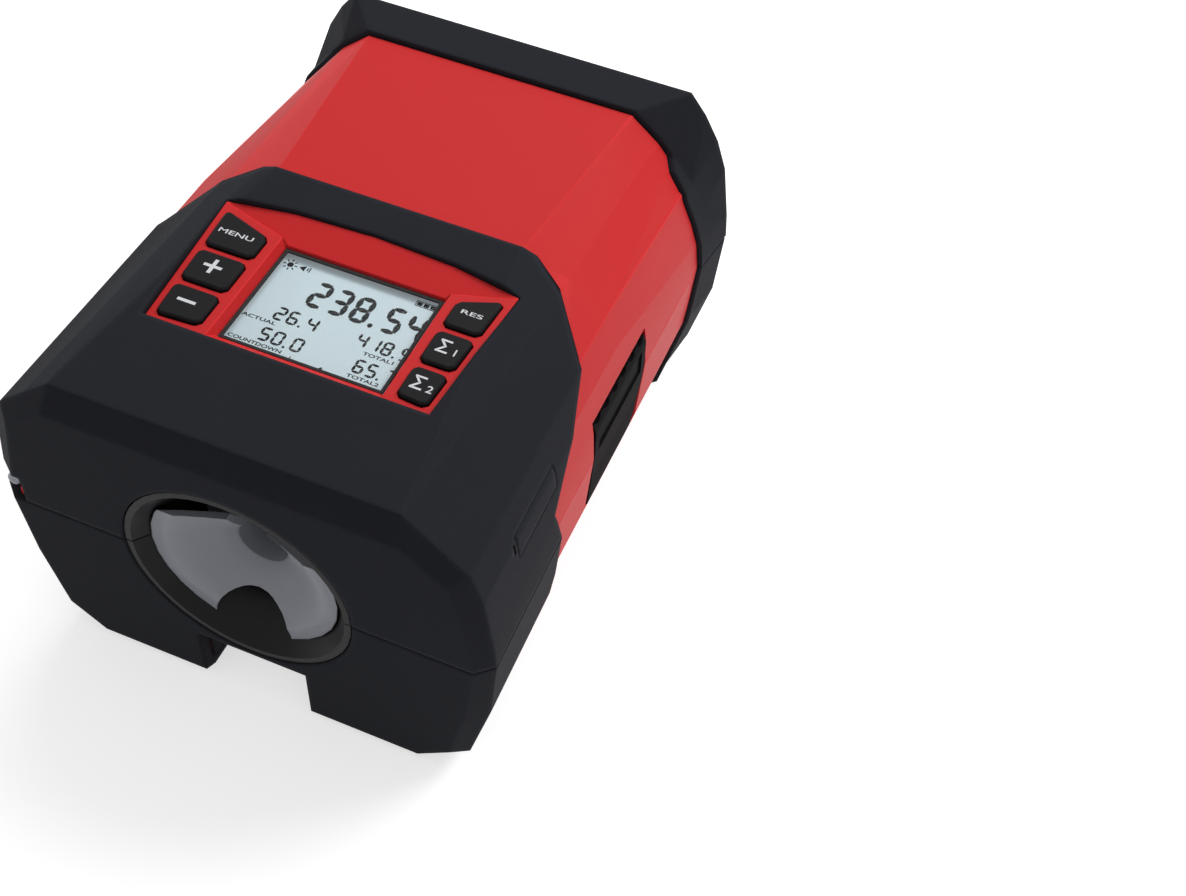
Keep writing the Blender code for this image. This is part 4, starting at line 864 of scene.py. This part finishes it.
def lettering(words, depth, bold=0.012):
    """One flat mesh of words. Each is (text, height in mm, stretch, x, y, z in mm), and bold
    is how far its outline grows, as a share of the height."""
    made = []
    for text, height, stretch, x, y, z in words:
        deselect()
        bpy.ops.object.text_add(location=(0, 0, 0))
        word = bpy.context.view_layer.objects.active
        word.data.body = text
        word.data.align_x = "CENTER"
        word.data.align_y = "CENTER"
        word.data.size = height * MM / CAPITAL
        word.data.extrude = depth
        word.data.offset = height * MM * bold
        bpy.ops.object.convert(target="MESH")
        low = [min(v.co[i] for v in word.data.vertices) for i in (0, 1)]
        high = [max(v.co[i] for v in word.data.vertices) for i in (0, 1)]
        centre = Vector(((low[0] + high[0]) / 2, (low[1] + high[1]) / 2, 0))
        rise = 1.0
        if text == DASH:
            stretch, rise = stretch * MM / (high[0] - low[0]), height * MM / (high[1] - low[1])
        word.data.transform(
            Matrix.Translation(Vector((x, y, z)) * MM)
            @ Matrix.Diagonal((stretch, rise, 1, 1))
            @ Matrix.Translation(-centre)
        )
        made.append(word)
    return joined(made)


class COUNTER_OT_keys(bpy.types.Operator):
    """Six keys with their printed marks"""

    bl_idname = "counter.keys"
    bl_label = "Keys"

    def execute(self, context):
        colours = context.scene.counter_colours
        depth = context.scene.counter_sizes.print_depth
        finish = key_caps(colours)
        ink = key_print(colours)
        for node in KEYS:
            dress(node, finish)
            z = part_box(node)[1].z / MM
            words = [mark + (z,) for mark in KEY_MARKS[node]]
            marks = lettering(words, depth)
            hand_over(marks, node + "_mark", ink, frame["nodes"][node]["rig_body"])
        return {"FINISHED"}


LIT = {"0": "abcdef", "1": "bc", "2": "abdeg", "3": "abcdg", "4": "bcfg", "5": "acdfg",
       "6": "acdefg", "7": "abc", "8": "abcdefg", "9": "abcdfg"}
# Thickness of a digit's bars as a share of its height. The width of a digit, the place of a
# point and the room that it takes are shares of the step between two digits. Each bar is
# drawn a little longer than its place, so that it meets its neighbours.
STROKE = 0.155
DIGIT_WIDTH, POINT_PLACE, POINT_ROOM = 0.82, 0.08, 0.46
BAR_REACH = 1.03


def segment(length, width, depth):
    """One bar of a digit along X at the origin, with mitred ends."""
    deselect()
    bpy.ops.mesh.primitive_circle_add(vertices=6, radius=width / math.sqrt(3),
                                      fill_type="NGON")
    bar = bpy.context.view_layer.objects.active
    in_edit(bar)
    bpy.ops.mesh.select_mode(type="VERT")
    bpy.ops.transform.resize(value=(math.sqrt(3), 1, 1))
    for side in (-1, 1):
        bpy.ops.mesh.select_all(action="DESELECT")
        shape = bmesh.from_edit_mesh(bar.data)
        for v in shape.verts:
            v.select = v.co.x * side > 0
        shape.select_flush_mode()
        bmesh.update_edit_mesh(bar.data)
        bpy.ops.transform.translate(value=(side * (length / 2 - width), 0, 0))
    bpy.ops.mesh.select_all(action="SELECT")
    thicken(depth)
    return bar


def reading_places(text, x, y, height, pitch, z):
    """The matrices of the bars that write text with its left foot at x, y."""
    width, thick = pitch * DIGIT_WIDTH, height * STROKE
    half = (height - thick) / 2
    spots = {
        "a": (width / 2, 2 * half, 0), "g": (width / 2, half, 0), "d": (width / 2, 0, 0),
        "b": (width - thick / 2, 1.5 * half, 90), "c": (width - thick / 2, 0.5 * half, 90),
        "f": (thick / 2, 1.5 * half, 90), "e": (thick / 2, 0.5 * half, 90),
    }
    places = []
    for mark in text:
        if mark == ".":
            dot = Matrix.Diagonal((thick / half, 1.0, 1, 1))
            spot = (x + pitch * POINT_PLACE, y + thick / 2, z)
            places.append(Matrix.Translation(spot) @ dot)
            x += pitch * POINT_ROOM
            continue
        for bar in LIT[mark]:
            dx, dy, turn = spots[bar]
            across = (width - thick) / half if turn == 0 else 1.0
            places.append(
                Matrix.Translation((x + dx, y + thick / 2 + dy, z))
                @ Matrix.Rotation(math.radians(turn), 4, "Z")
                @ Matrix.Diagonal((across * BAR_REACH, 1, 1, 1))
            )
        x += pitch
    return places


# Readings: text, place of the left foot, step between digits and name, in millimetres
MAIN_READING = ("238.54", -8.0, -30.5, 5.9, "main")
SMALL_READINGS = (("26.4", -12.7, -37.8, 3.55, "actual"),
                  ("50.0", -12.7, -45.3, 3.55, "countdown"),
                  ("418.9", 9.6, -37.3, 3.35, "total_1"),
                  ("65.7", 12.8, -45.2, 3.35, "total_2"))
# Words on the display: text, height and stretch, and the place of the middle in millimetres
SCREEN_WORDS = (("ACTUAL", 1.05, 1.6, -15.3, -39.0), ("COUNTDOWN", 1.05, 1.4, -12.2, -46.6),
                ("TOTAL1", 1.05, 1.55, 17.0, -38.6), ("TOTAL2", 1.05, 1.55, 16.8, -46.4))
# Signs: places of the lamp, the sounder, the battery and the two marks on the lower edge,
# and the bars of the battery as place and size round its middle. All in millimetres.
LAMP_SIGN, SOUND_SIGN, CELL_SIGN = (-17.5, -19.4), (-14.2, -19.2), (19.9, -18.0)
LINE_MARK, CORNER_MARK = (-2.2, -47.6), (6.1, -47.4)
LAMP_RADIUS, LAMP_RAYS, RAY_REACH, CONE_RADIUS = 0.85, 8, 1.55, 1.1
CELL_BARS = ((0, 0.85, 6.0, 0.22), (0, -0.85, 6.0, 0.22), (-2.9, 0, 0.22, 1.9),
             (2.9, 0, 0.22, 1.9), (3.2, 0, 0.4, 0.8), (-1.9, 0, 1.4, 1.2),
             (-0.1, 0, 1.4, 1.2), (1.7, 0, 1.4, 1.2))


class COUNTER_OT_screen(bpy.types.Operator):
    """Display: window, liquid crystal cell, readings, words and signs"""

    bl_idname = "counter.screen"
    bl_label = "Display"

    def execute(self, context):
        colours = context.scene.counter_colours
        sizes = context.scene.counter_sizes
        paint(("display_window",), window_pane())
        paint(("lcd_module",), display_film(colours))
        ink = segment_ink(colours)
        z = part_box("lcd_module")[1].z
        depth = sizes.print_depth
        for text, x, y, pitch, name in (MAIN_READING, *SMALL_READINGS):
            height = sizes.big_digit if name == "main" else sizes.small_digit
            half = height * (1 - STROKE) / 2
            bar = segment(half, height * STROKE, depth)
            places = reading_places(text, x * MM, y * MM, height, pitch * MM, z)
            hand_over(gathered(bar, places), "reading_" + name, ink, "lid")
        top = z / MM
        words = [word + (top,) for word in SCREEN_WORDS]
        legend = lettering(words, depth, bold=0.03)
        hand_over(legend, "screen_words", ink, "lid")
        self.signs(top, depth, ink)
        return {"FINISHED"}

    def signs(self, top, depth, ink):
        """Lamp, sounder and battery signs, and the two small marks on the lower edge."""
        deselect()
        bpy.ops.mesh.primitive_circle_add(vertices=16, radius=LAMP_RADIUS * MM,
                                          fill_type="NGON", location=metres((*LAMP_SIGN, top)))
        parts = [settle(bpy.context.view_layer.objects.active)]
        lamp = placed((*LAMP_SIGN, top))
        for k in range(LAMP_RAYS):
            turn = Matrix.Rotation(math.radians(360 / LAMP_RAYS * k), 4, "Z")
            parts.append(self.bar(0.8, 0.32, lamp @ turn, RAY_REACH))
        spot = placed((*SOUND_SIGN, top))
        parts.append(self.bar(0.7, 0.8, spot))
        parts.append(self.cone(spot))
        for reach, height in ((1.5, 1.0), (2.1, 1.7)):
            parts.append(self.bar(0.32, height, spot, reach))
        cell = placed((*CELL_SIGN, top))
        for x, y, width, height in CELL_BARS:
            parts.append(self.bar(width, height, cell @ placed((x, y, 0))))
        parts.append(self.bar(0.25, 1.5, placed((*LINE_MARK, top))))
        turn = Matrix.Rotation(math.radians(45), 4, "Z")
        parts.append(self.bar(0.9, 0.7, placed((*CORNER_MARK, top)) @ turn))
        signs = joined(parts)
        in_edit(signs)
        thicken(depth)
        hand_over(signs, "screen_signs", ink, "lid")

    def bar(self, width, height, place, reach=0.0):
        """A flat bar of a size in millimetres, moved out by reach before the matrix place."""
        deselect()
        bpy.ops.mesh.primitive_plane_add(size=MM)
        made = bpy.context.view_layer.objects.active
        made.data.transform(place @ placed((reach, 0, 0))
                            @ Matrix.Diagonal((width, height, 1, 1)))
        return made

    def cone(self, place):
        """The flat triangle of the sounder's cone."""
        deselect()
        bpy.ops.mesh.primitive_circle_add(vertices=3, radius=CONE_RADIUS * MM,
                                          fill_type="NGON")
        made = bpy.context.view_layer.objects.active
        made.data.transform(place @ placed((0.25, 0, 0))
                            @ Matrix.Rotation(math.radians(90), 4, "Z"))
        return made


# The camera: place in metres, turn in degrees, lens and sensor in millimetres
CAMERA_PLACE, CAMERA_TURN = (0.1518, -0.26795, 0.38455), (39.383, -2.865, 22.396)
CAMERA_LENS, CAMERA_SENSOR, CAMERA_NEAR = 49.108, 36.0, 0.01
# The floor's width and how far it lies below the object, and where the lamps point, in metres
FLOOR_WIDTH, FLOOR_DROP, AIM = 12.0, 0.0002, (0, 0, 0.04)
# The floor fades to full white between these two distances from the middle, in metres
FADE_START, FADE_END = 0.20, 0.45


class COUNTER_OT_stage(bpy.types.Operator):
    """Pale floor, soft lamps and the camera"""

    bl_idname = "counter.stage"
    bl_label = "Studio"

    def execute(self, context):
        deselect()
        bpy.ops.mesh.primitive_plane_add(size=FLOOR_WIDTH, location=(0, 0, -FLOOR_DROP))
        floor = bpy.context.view_layer.objects.active
        floor.name = "floor"
        floor.data.materials.append(self.paper())
        settle(floor)
        self.sky(context.scene)
        self.lamp("key_lamp", (0.75, 0.70, 1.05), 0.6, 9.0)
        self.lamp("top_lamp", (-0.20, 0.90, 1.30), 0.9, 7.0)
        data = bpy.data.cameras.new("camera")
        data.sensor_width = CAMERA_SENSOR
        data.lens = CAMERA_LENS
        data.clip_start = CAMERA_NEAR
        camera = bpy.data.objects.new("camera", data)
        camera.location = CAMERA_PLACE
        camera.rotation_euler = [math.radians(angle) for angle in CAMERA_TURN]
        context.scene.collection.objects.link(camera)
        context.scene.camera = camera
        context.scene.view_settings.view_transform = "Standard"
        return {"FINISHED"}

    def seen(self, tree):
        """1 where the camera sees the backdrop, also in a mirror or through glass."""
        path = add(tree, "LightPath").outputs
        through = add(tree, "Math", {0: path["Is Glossy Ray"], 1: path["Is Transmission Ray"]},
                      operation="MAXIMUM").outputs["Value"]
        return add(tree, "Math", {0: path["Is Camera Ray"], 1: through},
                   operation="MAXIMUM").outputs["Value"]

    def paper(self):
        # Matt studio paper: an even white that keeps the object's soft shadow. What the
        # camera sees of it is lifted to the white of the page.
        made = new_material("Matt studio paper")
        tree = made.node_tree
        place = add(tree, "TexCoord").outputs["Object"]
        fibre = add(tree, "TexNoise", {"Vector": place, "Scale": 1 / (2 * MM), "Detail": 3.0})
        relief = add(tree, "Bump", {"Height": fibre.outputs["Fac"], "Distance": 0.02 * MM})
        seen = self.seen(tree)
        away = add(tree, "VectorMath", {0: place}, operation="LENGTH").outputs["Value"]
        white = add(tree, "MapRange", {"Value": away, "From Min": FADE_START,
                                       "From Max": FADE_END, "To Min": 0.60,
                                       "To Max": 1.0}).outputs["Result"]
        lift = add(tree, "Math", {0: seen, 1: white}, operation="MULTIPLY")
        surface = add(tree, "BsdfPrincipled", {"Base Color": (0.80, 0.80, 0.80, 1),
                                               "Roughness": 0.9,
                                               "Specular IOR Level": 0.1,
                                               "Emission Color": (1, 1, 1, 1),
                                               "Emission Strength": lift.outputs["Value"],
                                               "Normal": relief.outputs["Normal"]})
        add(tree, "OutputMaterial", {"Surface": surface.outputs["BSDF"]})
        return made

    def sky(self, scene):
        """Even white light from all sides, and plain white where the camera sees past it."""
        world = bpy.data.worlds.new("studio")
        scene.world = world
        world.use_nodes = True
        tree = world.node_tree
        tree.nodes.clear()
        strength = add(tree, "MapRange", {"Value": self.seen(tree), "To Min": 0.40,
                                          "To Max": 1.0})
        light = add(tree, "Background", {"Color": (1, 1, 1, 1),
                                         "Strength": strength.outputs["Result"]})
        add(tree, "OutputWorld", {"Surface": light.outputs["Background"]})

    def lamp(self, name, place, size, power):
        """A round soft lamp that points at the object: its width in metres, power in watts."""
        data = bpy.data.lights.new(name, "AREA")
        data.shape = "DISK"
        data.size = size
        data.energy = power
        lamp = bpy.data.objects.new(name, data)
        lamp.location = place
        aim = Vector(AIM) - Vector(place)
        lamp.rotation_euler = aim.to_track_quat("-Z", "Y").to_euler()
        bpy.context.scene.collection.objects.link(lamp)


# ---------------------------------------------------------------- panel and registration

STEPS = (COUNTER_OT_shells, COUNTER_OT_rubber, COUNTER_OT_plates, COUNTER_OT_latch,
         COUNTER_OT_guides, COUNTER_OT_wheel, COUNTER_OT_electronics, COUNTER_OT_screws,
         COUNTER_OT_details, COUNTER_OT_keys, COUNTER_OT_screen, COUNTER_OT_stage)


class COUNTER_PT_panel(bpy.types.Panel):
    """Colours, sizes and steps of the cable length counter"""

    bl_label = "Cable counter"
    bl_idname = "COUNTER_PT_panel"
    bl_space_type = "VIEW_3D"
    bl_region_type = "UI"
    bl_category = "Cable counter"

    def draw(self, context):
        for group in (context.scene.counter_colours, context.scene.counter_sizes):
            for name in group.bl_rna.properties.keys():
                if name not in ("rna_type", "name"):
                    self.layout.prop(group, name)
        for step in STEPS:
            self.layout.operator(step.bl_idname)


CLASSES = (CounterColours, CounterSizes, *STEPS, COUNTER_PT_panel)


def register():
    for each in CLASSES:
        bpy.utils.register_class(each)
    bpy.types.Scene.counter_colours = bpy.props.PointerProperty(type=CounterColours)
    bpy.types.Scene.counter_sizes = bpy.props.PointerProperty(type=CounterSizes)


def unregister():
    del bpy.types.Scene.counter_sizes
    del bpy.types.Scene.counter_colours
    for each in reversed(CLASSES):
        bpy.utils.unregister_class(each)


def main():
    register()
    bpy.ops.counter.shells()
    bpy.ops.counter.rubber()
    bpy.ops.counter.plates()
    bpy.ops.counter.latch()
    bpy.ops.counter.guides()
    bpy.ops.counter.wheel()
    bpy.ops.counter.electronics()
    bpy.ops.counter.screws()
    bpy.ops.counter.details()
    bpy.ops.counter.keys()
    bpy.ops.counter.screen()
    bpy.ops.counter.stage()


if __name__ == "__main__":
    main()
